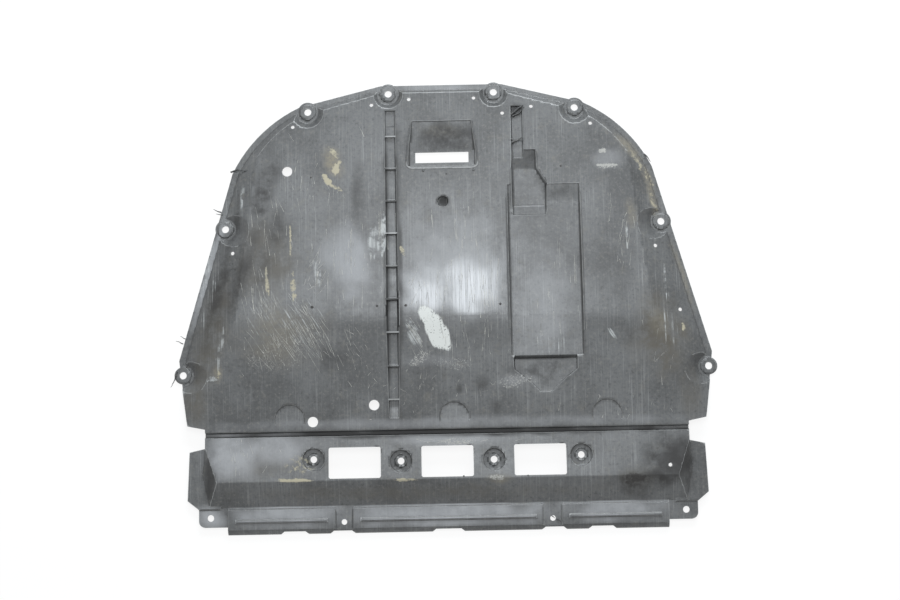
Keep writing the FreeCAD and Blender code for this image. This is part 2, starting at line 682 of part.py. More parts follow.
def make_skin(solids):
    """The sheet: the block under the road side, less the same block lowered by the wall."""
    block = fuse("block", solids)
    lowered = doc.addObject("Part::Compound", "lowered")
    lowered.Links = [block]
    lowered.setExpression("Placement.Base.z", cell("wall", "-"))
    road = cut("road_side", block, make_cavities(False))
    engine = cut("engine_side", lowered, make_cavities(True))
    return cut("skin", road, [engine])


def panel_height(y_text):
    """Height of the panel in front of its crest, as an expression."""
    return f"sizes.bend_z - (({y_text}) - sizes.bend_y) * {PANEL_SLOPE}"


def make_raised_details():
    """Boss pads on the rim, rings in the round recesses, and plates and long ribs of the rear skirt."""
    found = []
    for boss in SIDE_BOSSES:

        def pad(name, sign):
            return cylinder(name, cell(boss + "_x", sign), cell(boss + "_y"), "sizes.rim_z - sizes.wall",
                            cell("boss_r"), "sizes.wall + sizes.boss_rise")

        found += both_sides(boss + "_pad", pad)
    for cup in CUPS:

        def sleeve(name, sign):
            return cylinder(name, cell(cup + "_x", sign), cell(cup + "_y"), "sizes.cup_floor - sizes.wall",
                            cell("cup_sleeve_r"), "sizes.wall + sizes.cup_sleeve_rise")

        found += both_sides(cup + "_sleeve", sleeve)
    plates = [
        ("plate_mid", "-sizes.plate_gap_x1", "sizes.plate_gap_x1"),
        ("plate_right", "sizes.plate_gap_x2", "sizes.skirt_x"),
        ("plate_left", "-sizes.skirt_x", "-sizes.plate_gap_x2"),
    ]
    for name, left, right in plates:
        sunk = "sizes.skirt_z - sizes.wall / 2"
        found.append(box(name, left, cell("plate_rear"), sunk, f"({right}) - ({left})",
                         "sizes.plate_front - sizes.plate_rear", "sizes.plate_rise + sizes.wall / 2"))
        found.append(box(name + "_bar", f"{left} + sizes.plate_inset", cell("bar_rear"), sunk,
                         f"({right}) - ({left}) - 2 * sizes.plate_inset", "sizes.bar_front - sizes.bar_rear",
                         "sizes.plate_rise + sizes.bar_rise + sizes.wall / 2"))
    return found


def make_windows():
    """Three rounded windows in the rear strip."""
    left = "-sizes.window_pitch - sizes.window_width / 2"
    right = "-sizes.window_pitch + sizes.window_width / 2"
    front = "sizes.window_y + sizes.window_length / 2"
    rear = "sizes.window_y - sizes.window_length / 2"
    body = pad_body("windows", "XY_Plane", [(left, rear), (right, rear), (right, front), (left, front)],
                    cell("work_height"))
    round_edges(body, cell("window_round"), upright)
    pattern = body.newObject("PartDesign::LinearPattern", "window_row")
    pattern.Originals = [f for f in body.Group if f.TypeId in ("PartDesign::Pad", "PartDesign::Fillet")]
    pattern.Direction = (next(f for f in body.Origin.OriginFeatures if f.Role == "X_Axis"), [""])
    pattern.setExpression("Length", "2 * sizes.window_pitch")
    pattern.Occurrences = 3
    body.Tip = pattern
    doc.recompute()
    return body


def make_notches():
    """Notches that part the rear lip into tabs."""
    found = []
    rear = "sizes.lip_y - 2"
    spans = [("mid", "-sizes.notch_mid_half", "sizes.notch_mid_half")]
    for tag, sign, first, second in (
        ("right_1", "", "notch_x1", "notch_x2"),
        ("right_2", "", "notch_x3", "notch_x4"),
        ("left_1", "-", "notch_x2", "notch_x1"),
        ("left_2", "-", "notch_x4", "notch_x3"),
    ):
        spans.append((tag, cell(first, sign), cell(second, sign)))
    for tag, left, right in spans:
        found.append(pad_body(f"notch_{tag}", "XY_Plane", [
            (f"{left} - sizes.notch_lean", rear),
            (f"{right} + sizes.notch_lean", rear),
            (right, cell("notch_depth_y")),
            (left, cell("notch_depth_y")),
        ], cell("work_height"), "-sizes.wall"))
    return found


def make_holes():
    """Every hole through the sheet."""
    through = cell("work_height")
    low = "-sizes.wall"
    tall = f"{through} + sizes.wall"
    found = [make_windows()] + make_notches()
    found.append(box("mouth", cell("mouth_half", "-"), cell("mouth_rear"), low, "2 * sizes.mouth_half",
                     "sizes.mouth_front - sizes.mouth_rear", tall))
    bolts = [(boss, "boss_hole_r") for boss in SIDE_BOSSES] + [(cup, "cup_hole_r") for cup in CUPS]
    bolts += [("tab_hole", "tab_hole_r"), ("skirt_hole", "skirt_hole_r")]
    for spot, radius in bolts:

        def hole(name, sign):
            return cylinder(name, cell(spot + "_x", sign), cell(spot + "_y"), low, cell(radius), tall)

        found += both_sides(spot + "_bore", hole)
    for radius, spots, square in (
        ("access_r", ACCESS_HOLES, False),
        ("drain_r", DRAIN_HOLES, False),
        ("panel_access_r", PANEL_ACCESS_HOLES, True),
        ("panel_drain_r", PANEL_DRAIN_HOLES, True),
    ):
        for number, (x, y) in enumerate(spots):
            back = f" - ({panel_height(y)} - ({low})) * {PANEL_SLOPE}" if square else ""
            bore = cylinder(f"{radius}_{number}", f"{x} + 0 * sizes.wall", f"{y} + 0 * sizes.wall{back}", low,
                            cell(radius.replace("panel_", "")), tall)
            if square:
                bore.Placement = FreeCAD.Placement(bore.Placement.Base, FreeCAD.Rotation(V(1, 0, 0), -1))
                bore.setExpression("Placement.Rotation.Angle", f"-atan({PANEL_SLOPE})")
            found.append(bore)
    return found


def check():
    """Stops the build if any object failed."""
    for node in doc.Objects:
        if any(word in node.State for word in ("Invalid", "Error")):
            raise RuntimeError(f"{node.Name}: {node.State}")
        shape = getattr(node, "Shape", None)
        if shape is not None and node.TypeId.startswith(("Part::", "PartDesign::Body")):
            if shape.isNull() or not shape.isValid():
                raise RuntimeError(f"{node.Name}: bad shape")


profile = make_profile()
plan = make_plan()
solids = make_panel(profile, plan) + make_strip(profile)
skin = make_skin(solids)
whole = fuse("detailed", [skin] + make_raised_details())
plate = cut("skid_plate", whole, make_holes())
plate.Label = "skid_plate"
doc.recompute()
check()
if len(plate.Shape.Solids) != 1:
    raise RuntimeError("the plate is not one solid")
os.makedirs("parts", exist_ok=True)
plate.Shape.exportStep(f"parts/{plate.Label}.step")
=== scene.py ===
import math
import random

import bmesh
import bpy
import numpy as np
from mathutils import Matrix, Vector
from mathutils import noise as soft_noise
from mathutils.bvhtree import BVHTree


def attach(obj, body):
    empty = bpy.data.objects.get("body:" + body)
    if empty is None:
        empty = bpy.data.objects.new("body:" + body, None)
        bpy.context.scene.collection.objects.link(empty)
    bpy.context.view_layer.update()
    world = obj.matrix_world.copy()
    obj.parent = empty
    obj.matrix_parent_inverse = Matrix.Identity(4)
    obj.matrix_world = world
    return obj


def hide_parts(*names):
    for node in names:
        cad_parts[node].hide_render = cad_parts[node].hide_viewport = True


bl_info = {
    "name": "Engine skid plate",
    "version": (1, 0, 0),
    "blender": (4, 5, 0),
    "location": "3D View > Sidebar > Skid plate",
    "description": "Dresses a moulded skid plate with worn plastic, splinters and a plain studio",
    "category": "Object",
}

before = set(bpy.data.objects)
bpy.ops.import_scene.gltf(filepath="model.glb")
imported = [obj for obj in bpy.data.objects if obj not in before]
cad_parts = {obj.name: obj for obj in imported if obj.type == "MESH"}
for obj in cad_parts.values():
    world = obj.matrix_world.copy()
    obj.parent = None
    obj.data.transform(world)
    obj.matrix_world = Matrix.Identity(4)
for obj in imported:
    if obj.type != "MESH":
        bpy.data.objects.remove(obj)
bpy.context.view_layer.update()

# The photograph's size in pixels and the camera that matches it
PHOTO_SIZE = (900, 600)
SENSOR_WIDTH = 36.0
CAMERA_TARGET = (0.0091, 0.0070, 0.025)
CAMERA_CLIP = (0.05, 60.0)

# Height of the road side along y, from the rear lip to the front, for placing marks by pixels
PROFILE_Y = (-0.380, -0.369, -0.330, -0.289, -0.215, -0.206, -0.189, -0.020, 0.360)
PROFILE_Z = (0.003, 0.009, 0.009, 0.027, 0.020, 0.020, 0.021, 0.0374, 0.009)
PROFILE_TRIES = 30

# Marks on the road side: name, kind, middle and half sizes in pixels, turn in degrees, strength, cover
MARKS = [
    ("brown on the left band", "grime", (210, 345), (20, 80), -14, 0.9, 0.8),
    ("brown at the left tail", "grime", (196, 405), (14, 26), 0, 0.8, 0.8),
    ("brown at the right", "grime", (658, 332), (32, 44), 10, 1.0, 1.0),
    ("brown at the right tail", "grime", (690, 390), (14, 30), 0, 0.6, 0.6),
    ("brown on the strip", "grime", (258, 464), (38, 18), 0, 0.6, 0.6),
    ("brown on the rear slope", "grime", (420, 492), (190, 8), 0, 0.6, 0.6),
    ("brown behind the crest", "grime", (285, 338), (60, 34), 0, 0.6, 0.6),
    ("brown at the right end", "grime", (640, 478), (20, 14), 0, 0.8, 0.8),
    ("mud smear", "dust", (333, 162), (10, 17), 15, 1.0, 1.0),
    ("right edge dust, upper", "dust", (627, 146), (6, 22), 42, 0.9, 0.9),
    ("right edge dust, lower", "dust", (651, 188), (5, 32), 14, 0.9, 0.9),
    ("right patch", "dust", (631, 212), (6, 15), 0, 0.7, 0.7),
    ("right rim dust", "dust", (686, 275), (3, 40), 17, 0.7, 0.7),
    ("dust behind the crest", "dust", (275, 330), (32, 30), 20, 0.5, 0.6),
    ("scoop mottle", "dust", (437, 131), (22, 9), 0, 0.4, 0.6),
    ("strip dust by the cup", "dust", (500, 478), (16, 5), 0, 0.8, 0.8),
    ("dust under the left ridge", "dust", (218, 373), (5, 9), 0, 0.9, 0.8),
    ("dust on the right of the panel", "dust", (660, 322), (12, 16), 0, 0.5, 0.6),
    ("dark smear, upper left", "shade", (264, 192), (14, 50), -12, 1.0, 1.0),
    ("dark smear, left", "shade", (242, 275), (10, 56), -20, 1.0, 0.9),
    ("dark by the left boss", "shade", (237, 212), (4, 30), -8, 0.7, 0.8),
    ("dark smear by the channel", "shade", (358, 190), (9, 34), 0, 0.5, 0.7),
    ("dark left of middle", "shade", (332, 360), (24, 16), 0, 0.7, 0.7),
    ("dark behind the crest", "shade", (480, 337), (44, 17), 0, 0.5, 0.6),
    ("dark at the left tail", "shade", (215, 318), (9, 40), -14, 0.5, 0.6),
    # Painted shade in the scoop, the pocket, the slot and the outlet, whose walls face away from the lamps
    ("scoop ramp", "shade", (442, 137), (46, 22), 0, 0.9, 0.95),
    ("pocket head", "shade", (528, 158), (14, 9), 0, 0.8, 0.8),
    ("slot head", "shade", (516, 110), (8, 8), 0, 0.9, 0.9),
    ("outlet", "shade", (543, 371), (42, 14), 0, 0.9, 0.85),
    # Painted shade: the blind recess and the cross groove painted near-black
    ("blind recess", "soot_and_deep_shade", (443, 201), (6.5, 6.5), 0, 1.0, 1.0),
    ("cross groove", "soot_and_deep_shade", (447, 432.2), (262, 4.2), 0, 1.0, 1.0),
    ("soot at the right end", "shade", (674, 455), (34, 30), -20, 1.0, 1.0),
    ("soot at the strip's rear", "shade", (652, 479), (36, 15), 12, 1.0, 1.0),
    ("soot on the right wing", "shade", (690, 464), (11, 30), 0, 0.8, 0.9),
    ("left end wedge", "soot_and_deep_shade", (211, 472), (8, 30), -8, 0.8, 0.8),
    ("oil spot, large", "shade", (482, 382), (8, 12), -20, 0.9, 0.9),
    ("oil spot, small", "shade", (460, 388), (5, 6), 0, 0.8, 0.9),
    ("oil spot, rear", "shade", (496, 408), (6, 8), 0, 0.8, 0.9),
    ("dark at the right", "shade", (612, 262), (22, 44), 0, 0.35, 0.5),
    ("soot flecks", "flecks", (637, 480), (15, 9), 0, 1.0, 0.55),
    ("flecks under the left boss", "flecks", (232, 262), (9, 16), -10, 0.8, 0.45),
    # Painted sheen on level faces around the crest, the wide channel and the strip
    ("sheen in the middle", "sheen_and_pale_film", (452, 262), (58, 56), 0, 0.5, 0.6),
    ("sheen left of the channel", "sheen_and_pale_film", (348, 262), (26, 40), 0, 0.6, 0.6),
    ("sheen on the wide channel", "sheen_and_pale_film", (545, 300), (28, 50), 0, 0.35, 0.5),
    ("sheen on the strip, left", "sheen_and_pale_film", (232, 456), (38, 26), 0, 1.0, 0.95),
    ("sheen on the strip, further", "sheen_and_pale_film", (276, 450), (40, 16), 0, 0.9, 0.8),
    ("sheen on the strip, middle", "sheen_and_pale_film", (450, 440), (62, 6), 0, 0.6, 0.7),
    # Painted sheen on the skirt, the left end tab and the front rim
    ("skirt, left", "sheen_and_pale_film", (285, 514), (62, 14), 0, 1.0, 1.0),
    ("skirt, middle", "sheen_and_pale_film", (450, 513), (110, 14), 0, 1.0, 1.0),
    ("skirt, right", "sheen_and_pale_film", (620, 509), (60, 13), 0, 0.9, 0.9),
    ("left end tab", "sheen_and_pale_film", (208, 519), (16, 14), 0, 1.0, 1.0),
    ("front rim", "sheen_and_pale_film", (440, 87), (70, 4), 0, 0.7, 0.75),
    ("right smear", "sheen_and_pale_film", (609, 158), (16, 11), 0, 0.6, 0.6),
    ("left band sheen", "sheen_and_pale_film", (246, 195), (6, 24), -8, 0.7, 0.7),
    # Painted glare on the faces in front of the crest, on smoother plastic
    ("polish on the crest", "polished_glare", (472, 284), (38, 34), 0, 1.0, 1.0),
    ("polish left of the channel", "polished_glare", (350, 262), (24, 38), 0, 0.8, 0.8),
    ("polish before the scrape", "polished_glare", (424, 288), (26, 28), 0, 1.0, 1.0),
    ("rub beside the channel", "scuff", (383, 233), (3.4, 26), 0, 1.0, 1.0),
    ("rub beside the channel, wide", "scuff", (375, 240), (8, 20), 0, 0.9, 0.66),
    ("streak 4", "scuff", (317, 274), (5, 22), 10, 0.9, 0.66),
    ("right rub", "scuff", (627, 238), (2.2, 20), 0, 0.9, 0.7),
    ("right ridge rub", "scuff", (667, 283), (2.2, 28), 3, 0.9, 0.7),
    ("rubs at the outlet's lip", "scuff", (545, 343), (28, 13), 0, 0.6, 0.5),
    ("left ridge rub", "scuff", (220.5, 352), (4.5, 28), -9, 0.8, 0.62),
    ("left corner mark", "scuff", (213, 379.5), (8, 3.2), 0, 0.9, 0.8),
    ("left band rub", "scuff", (207, 300), (7, 40), -14, 0.5, 0.5),
    ("left rim rub", "scuff", (205, 268), (3, 40), -14, 0.9, 0.66),
    ("left rim rub, upper", "scuff", (241, 195), (4, 24), -8, 0.7, 0.62),
    ("right panel rubs", "scuff", (672, 325), (14, 22), 6, 0.5, 0.5),
    ("scratches behind the streaks", "scuff", (300, 325), (26, 34), 24, 0.7, 0.48),
    ("scratches by the left bend", "scuff", (266, 320), (30, 32), 26, 0.5, 0.44),
    ("scratches left of the scrape", "scuff", (413, 334), (8, 20), 28, 0.9, 0.64),
    ("right slanting scratch", "scuff", (613, 333), (3, 9), 40, 0.9, 0.66),
    ("chips, middle", "chips", (455, 363), (24, 8), 0, 0.6, 0.46),
    ("chips, right", "chips", (514, 381), (24, 10), 0, 0.7, 0.48),
    ("chips by the channel", "chips", (422, 358), (16, 7), 25, 0.8, 0.5),
    ("chips behind the crest", "chips", (285, 350), (52, 24), 20, 0.5, 0.4),
    ("chips by the window", "chips", (455, 441), (26, 4), 0, 0.8, 0.55),
    ("chips by the cup", "chips", (497, 477), (12, 4), 0, 1.0, 0.62),
    ("chips at the upper right", "chips", (602, 151), (5, 4), 0, 0.9, 0.7),
    ("chips at the upper right, line", "chips", (609, 165.5), (15, 2.2), 0, 1.0, 0.85),
    ("mud by the channel", "mud", (402.5, 252), (3, 7), 20, 0.9, 0.8),
    ("mud hook, upper", "mud", (334, 153), (3.6, 11), 42, 0.75, 0.7),
    ("mud hook, middle", "mud", (337, 168), (4.5, 12), -30, 0.9, 0.8),
    ("mud hook, lower", "mud", (327, 180), (4.5, 9), 35, 0.9, 0.85),
    ("mud hook, tail", "mud", (336, 188), (2.6, 11), 58, 0.8, 0.7),
    ("streak 1", "mud", (290.5, 242), (2, 22), 0, 0.8, 0.72),
    ("streak 2", "mud", (293, 284), (3.5, 22), 6, 0.8, 0.7),
    ("streak 3", "mud", (267, 283), (2.4, 20), 5, 0.85, 0.72),
    ("right cream spot", "mud", (684, 325), (3, 6), 0, 0.9, 0.8),
    ("strip mud, left", "mud", (297, 466), (20, 14), -20, 0.7, 0.5),
    ("strip mud, left edge", "mud", (295, 481), (22, 2.2), -1, 0.85, 0.8),
    ("strip mud, middle edge", "mud", (405, 480), (14, 2.4), 0, 0.75, 0.75),
    ("dirt in the left ridge", "mud", (219, 374), (3, 7), 0, 0.8, 0.66),
    # Painted shade on the head of the wide channel, a ramp that faces away from the lamps
    ("head of the wide channel", "shade", (563, 191), (20, 10), 0, 0.8, 0.7),
    ("dark by the left streaks", "shade", (277, 228), (10, 22), -6, 0.8, 0.8),
    # Painted shade on the outlet's step
    ("outlet step", "soot_and_deep_shade", (543, 357), (32, 2.2), 0, 0.9, 0.9),
    ("dark at the left rim", "shade", (228, 246), (5, 34), -16, 0.8, 0.8),
    ("dark on the left band", "shade", (215, 300), (12, 62), -14, 0.9, 0.9),
    ("soot core", "soot_and_deep_shade", (678, 457), (16, 21), -20, 0.9, 0.75),
    ("soot tail", "soot_and_deep_shade", (660, 472), (18, 5), 12, 0.6, 0.5),
    # Painted shade along the walls of both channels
    ("wide channel, left wall", "soot_and_deep_shade", (509.8, 270), (2.4, 84), 0, 0.8, 0.7),
    ("wide channel, right wall", "soot_and_deep_shade", (582, 270), (2.4, 84), 0, 0.8, 0.7),
    ("ribbed channel, left wall", "soot_and_deep_shade", (387, 265), (3, 155), 0, 0.8, 0.8),
    ("ribbed channel, right wall", "soot_and_deep_shade", (398.9, 265), (3, 155), 0, 0.8, 0.8),
    # Painted sheen on the left rim and on the band before the groove
    ("left rim sheen", "sheen_and_pale_film", (206, 272), (5, 64), -16, 0.9, 0.9),
    ("band before the groove", "sheen_and_pale_film", (447, 422), (250, 6), 0, 0.5, 0.5),
    ("dark patch at the right", "shade", (628, 330), (30, 16), 0, 0.5, 0.6),
    ("flakes at the right rim", "mud", (641, 166), (5, 30), 33, 0.7, 0.5),
    ("flakes at the right rim, lower", "mud", (655, 203), (4, 18), 12, 0.7, 0.5),
    ("pale smear by the outlet", "sheen_and_pale_film", (512, 380), (18, 7), 0, 0.5, 0.5),
    ("pale smear under the scrape", "sheen_and_pale_film", (430, 361), (22, 6), 0, 0.4, 0.4),
    ("brown by the left streaks", "grime", (265, 260), (32, 50), -8, 0.8, 0.8),
    ("dark mottle by the left streaks", "shade", (262, 268), (9, 30), -8, 0.5, 0.6),
    ("gleam on the crest", "gleam", (476, 287), (30, 34), 0, 0.9, 0.8),
    ("gleam before the scrape", "gleam", (428, 294), (26, 24), 0, 0.8, 0.75),
    ("scrape, upper end", "scrape", (427, 317), (9, 12), 25, 1.0, 0.78),
    ("scrape, middle", "scrape", (438, 334), (12.5, 23), 22, 1.0, 0.92),
]

# Kinds of mark: colour, roughness, the fine pattern that breaks it up, and whether its edges are soft
KINDS = {
    "grime": ((0.090, 0.083, 0.069), 0.72, "cloudy", True),
    "dust": ((0.215, 0.198, 0.156), 0.80, "blotchy", True),
    # Dark smears, soot and oil spots, and also painted shade in recesses and on ramps that face away from the
    # lamps
    "shade": ((0.018, 0.018, 0.018), 0.60, "cloudy", True),
    # Near-black: soot, and painted shade in the blind recess, the cross groove, the outlet's step and along
    # the channel walls
    "soot_and_deep_shade": ((0.010, 0.010, 0.010), 0.60, "plain", True),
    # Painted sheen on level faces that catch the lamps, and a pale film
    "sheen_and_pale_film": ((0.300, 0.310, 0.322), 0.42, "cloudy", True),
    # Smoother plastic with a painted glare on the faces turned to the front lamp
    "polished_glare": ((0.185, 0.194, 0.204), 0.24, "cloudy", True),
    "gleam": ((0.60, 0.62, 0.64), 0.30, "along", True),
    "flecks": ((0.022, 0.021, 0.020), 0.70, "blotchy", False),
    "scuff": ((0.40, 0.42, 0.42), 0.48, "along", False),
    "slant": ((0.38, 0.40, 0.40), 0.48, "slanted", False),
    "chips": ((0.36, 0.36, 0.34), 0.65, "speckled", False),
    "mud": ((0.40, 0.372, 0.278), 0.85, "blotchy", False),
    "scrape": ((0.60, 0.62, 0.60), 0.62, "chalky", False),
}
# Scuffs that turn further are slanted; kinds that show on some faces only, or evenly: the painted glare only
# on faces turned to the front, the painted sheen only on level faces
SLANT_FROM = 15
FRONT_ONLY = ("polished_glare", "gleam")
LEVEL_ONLY = ("sheen_and_pale_film",)
EVEN_KINDS = ("sheen_and_pale_film", "polished_glare")

# Fields of scratches in pixels: name, middle, half sizes, lean and spread in degrees, count, lengths
SCRATCH_FIELDS = [
    ("behind the streaks", (303, 330), (26, 30), -32, 12, 60, 14, 45),
    ("behind the crest, left", (270, 345), (34, 22), -20, 30, 45, 6, 25),
    ("by the left bend", (262, 300), (24, 30), -10, 14, 25, 12, 40),
    ("by the fourth streak", (315, 275), (9, 22), 15, 30, 26, 7, 28),
    ("left of the channel", (350, 265), (26, 45), 0, 6, 36, 8, 45),
    ("beside the channel", (383, 232), (5, 26), 0, 5, 24, 8, 35),
    ("on the crest", (470, 285), (40, 36), 0, 8, 60, 10, 55),
    ("before the scrape", (425, 290), (24, 30), 5, 30, 36, 6, 30),
    ("left of the scrape", (414, 335), (7, 22), -32, 7, 16, 12, 38),
    ("in the wide channel", (550, 300), (28, 55), 0, 5, 26, 8, 40),
    ("behind the crest, middle", (345, 350), (28, 22), -25, 30, 28, 5, 22),
    ("behind the crest, right", (480, 338), (40, 22), 0, 12, 24, 6, 30),
    ("right of the panel", (620, 235), (24, 50), 5, 16, 24, 5, 25),
    ("upper left", (310, 190), (50, 60), -10, 40, 28, 5, 25),
    ("at the right bend", (660, 330), (24, 35), 10, 30, 24, 4, 20),
    ("on the strip, left", (240, 456), (32, 16), 0, 30, 26, 4, 16),
    ("on the strip, middle", (450, 441), (60, 6), 90, 20, 18, 5, 20),
    ("rear panel, middle", (420, 392), (90, 24), 0, 80, 34, 3, 13),
    ("before the crest", (460, 215), (40, 36), 0, 10, 22, 6, 36),
    ("by the left streaks", (270, 230), (26, 50), -6, 14, 22, 8, 40),
    ("rear panel, right", (620, 400), (60, 24), 0, 80, 20, 3, 12),
]
SCRATCH_SEED = 11
SCRATCH_BEND = 0.10
SCRATCH_RADII = (0.00022, 0.00052)
SCRATCH_PART = 0.008
SCRATCH_DROP = 0.0018
SCRATCH_SINK = 0.3

# Torn fibres and broken ribs: points in metres, root radius
SPLINTERS = [
    ([(-0.3732, 0.1641, 0.006), (-0.3795, 0.1658, 0.008), (-0.3869, 0.1695, 0.009)], 0.0016),
    ([(-0.3722, 0.1611, 0.006), (-0.3782, 0.1608, 0.007), (-0.3830, 0.1625, 0.008)], 0.0011),
    ([(-0.4344, -0.0480, 0.005), (-0.4400, -0.0460, 0.007), (-0.4446, -0.0430, 0.007)], 0.0009),
    ([(-0.4394, -0.0563, 0.005), (-0.4450, -0.0530, 0.006), (-0.4515, -0.0509, 0.006)], 0.0011),
    ([(-0.4495, -0.1031, 0.005), (-0.4536, -0.1164, 0.006), (-0.4600, -0.1288, 0.004)], 0.0014),
    ([(-0.3573, 0.2340, 0.006), (-0.3450, 0.2366, 0.010), (-0.3315, 0.2346, 0.011),
      (-0.3190, 0.2325, 0.014)], 0.0016),
    ([(0.3423, 0.2512, 0.006), (0.3488, 0.2458, 0.008), (0.3530, 0.2380, 0.007)], 0.0014),
    ([(0.1195, 0.3239, 0.009), (0.1289, 0.3317, 0.012), (0.1392, 0.3381, 0.013)], 0.0030),
    ([(0.1203, 0.3206, 0.008), (0.1322, 0.3253, 0.009), (0.1408, 0.3349, 0.012)], 0.0024),
    ([(0.1175, 0.2798, 0.014), (0.1258, 0.2760, 0.015), (0.1377, 0.2824, 0.016)], 0.0028),
    ([(0.1190, 0.2738, 0.014), (0.1292, 0.2794, 0.015), (0.1393, 0.2758, 0.015)], 0.0024),
    ([(0.1789, -0.3587, 0.0095), (0.1825, -0.3600, 0.0115), (0.1854, -0.3638, 0.0100)], 0.0013),
    ([(0.1700, -0.3530, 0.0095), (0.1735, -0.3545, 0.0110), (0.1752, -0.3580, 0.0095)], 0.0011),
]

STRAND_SEED = 7
STRAND_SHAKE = ((-1.0, -1.0, -0.3), (1.0, 1.0, 0.6))

# Small raised nubs of the moulding: x, y, z, radius
NUBS = [
    (-0.0320, 0.2276, 0.0193, 0.0022), (0.0530, 0.2270, 0.0194, 0.0022),
    (0.0262, -0.2853, 0.0268, 0.0016), (0.1322, -0.2863, 0.0268, 0.0016),
]

# Rounded lip round the scoop and the low rib in the ribbed channel: places along them, and radius
LIPS = [
    ([(-0.0530, 0.3080), (-0.0588, 0.2660), (-0.0603, 0.2450), (-0.0598, 0.2375), (-0.0570, 0.2332),
      (-0.0515, 0.2315), (0.0, 0.2315), (0.0515, 0.2315), (0.0570, 0.2332), (0.0598, 0.2375),
      (0.0603, 0.2450), (0.0588, 0.2660), (0.0530, 0.3080)], 0.0015),
    ([(-0.0940, 0.3066), (-0.0870, 0.3066), (-0.0800, 0.3066)], 0.0012),
]

# Pips of the moulding, drawn as flat near-black domes of painted shade: x, y, radius
PIPS = [
    (-0.2210, 0.2190, 0.0017), (0.2000, 0.2310, 0.0017), (0.0070, 0.2210, 0.0015), (-0.2200, -0.0020, 0.0026),
    (-0.1120, -0.0020, 0.0021), (-0.0645, -0.0020, 0.0024), (0.0925, -0.0025, 0.0022),
]
NUB_FLATNESS = 0.6
PIP_FLATNESS = 0.12
DOME_SEGMENTS = (14, 8)

# Noises of the plastic: scale, detail and roughness
NOISES = {
    "cloud": (9.0, 4.0, 0.6),
    "blotch": (55.0, 4.0, 0.65),
    "mottle": (190.0, 3.0, 0.7),
    "grain": (900.0, 2.0, 0.6),
    "specks": (330.0, 3.0, 0.7),
    "cloudy": (38.0, 5.0, 0.7),
    "blotchy": (140.0, 5.0, 0.7),
    "gaps": (85.0, 3.0, 0.6),
    "scored": (60.0, 4.0, 0.7),
}

# Tones of the plastic and of the stage
DARK_SHARE = 0.72
PALE_SHARE = 1.32
TORN_SHARE = 0.45
BLOTCH_TONE = (0.145, 0.138, 0.118)
MOTTLE_PALE = (0.17, 0.168, 0.155)
MOTTLE_DARK = (0.03, 0.03, 0.03)
RUBBED_TONE = (0.34, 0.35, 0.35)
CROSS_TONE = (0.36, 0.37, 0.37)
# Painted shade in creases
CREASE_SHADE_TONE = (0.018, 0.018, 0.018)
# Paler worn edges with a painted highlight
EDGE_WEAR_AND_GLINT = (0.42, 0.43, 0.43)
SCORED_DARK = (0.17, 0.172, 0.165)
SCORED_PALE = (0.50, 0.50, 0.46)
# Painted shade inside the pips
PIP_SHADE_DARK = (0.012, 0.012, 0.012)
PIP_SHADE_PALE = (0.045, 0.043, 0.040)
FLOOR_TONE = (0.82, 0.82, 0.82)
WHITE = (1.0, 1.0, 1.0)
LAMP_TONE = (0.915, 0.96, 1.0)

# Stage: half the floor's side, and each soft box's place, target and size
FLOOR_REACH = 6.0
FRONT_BOX = ((0.0, 0.44, 2.0), (0.0, 0.05, 0.0), (0.62, 0.75))
FAR_BOX = ((0.4, 2.6, 1.6), (0.0, 0.0, 0.0), (2.0, 0.9))


# Shader tree helpers
def add_node(tree, kind, values=None, **settings):
    """Adds a node; a value that is a socket is linked, and any other is set."""
    node = tree.nodes.new(kind)
    for name, value in settings.items():
        setattr(node, name, value)
    for key, value in (values or {}).items():
        socket = node.inputs[key]
        if isinstance(value, bpy.types.NodeSocket):
            tree.links.new(value, socket)
        else:
            socket.default_value = value
    return node


def maths(tree, operation, first, second=0.0, clamp=False):
    node = add_node(tree, "ShaderNodeMath", {0: first, 1: second}, operation=operation, use_clamp=clamp)
    return node.outputs[0]


def remap(tree, value, low, high, to_low=0.0, to_high=1.0):
    node = add_node(tree, "ShaderNodeMapRange", {
        "Value": value, "From Min": low, "From Max": high, "To Min": to_low, "To Max": to_high,
    }, interpolation_type="SMOOTHSTEP")
    return node.outputs["Result"]


def noise(tree, vector, scale, detail=3.0, rough=0.55):
    node = add_node(tree, "ShaderNodeTexNoise", {
        "Vector": vector, "Scale": scale, "Detail": detail, "Roughness": rough,
    })
    return node.outputs["Fac"]


def mix_colour(tree, factor, first, second):
    node = tree.nodes.new("ShaderNodeMix")
    node.data_type = "RGBA"
    kinds = {"Factor": "VALUE", "A": "RGBA", "B": "RGBA"}
    values = {"Factor": factor, "A": first, "B": second}
    for socket in node.inputs:
        if kinds.get(socket.name) == socket.type:
            value = values[socket.name]
            if isinstance(value, bpy.types.NodeSocket):
                tree.links.new(value, socket)
            else:
                socket.default_value = value
    return next(s for s in node.outputs if s.type == "RGBA")


def rgba(colour):
    return (*colour, 1.0)


def streaks(tree, place, lean, scale):
    """A noise drawn out into fine lines that lean by the given degrees."""
    rotation = (0.0, 0.0, math.radians(lean))
    turned = add_node(tree, "ShaderNodeMapping", {"Vector": place, "Rotation": rotation})
    drawn = add_node(tree, "ShaderNodeMapping", {"Vector": turned.outputs["Vector"], "Scale": (*scale, 12.0)})
    return noise(tree, drawn.outputs["Vector"], 1.0, 4.0, 0.65)


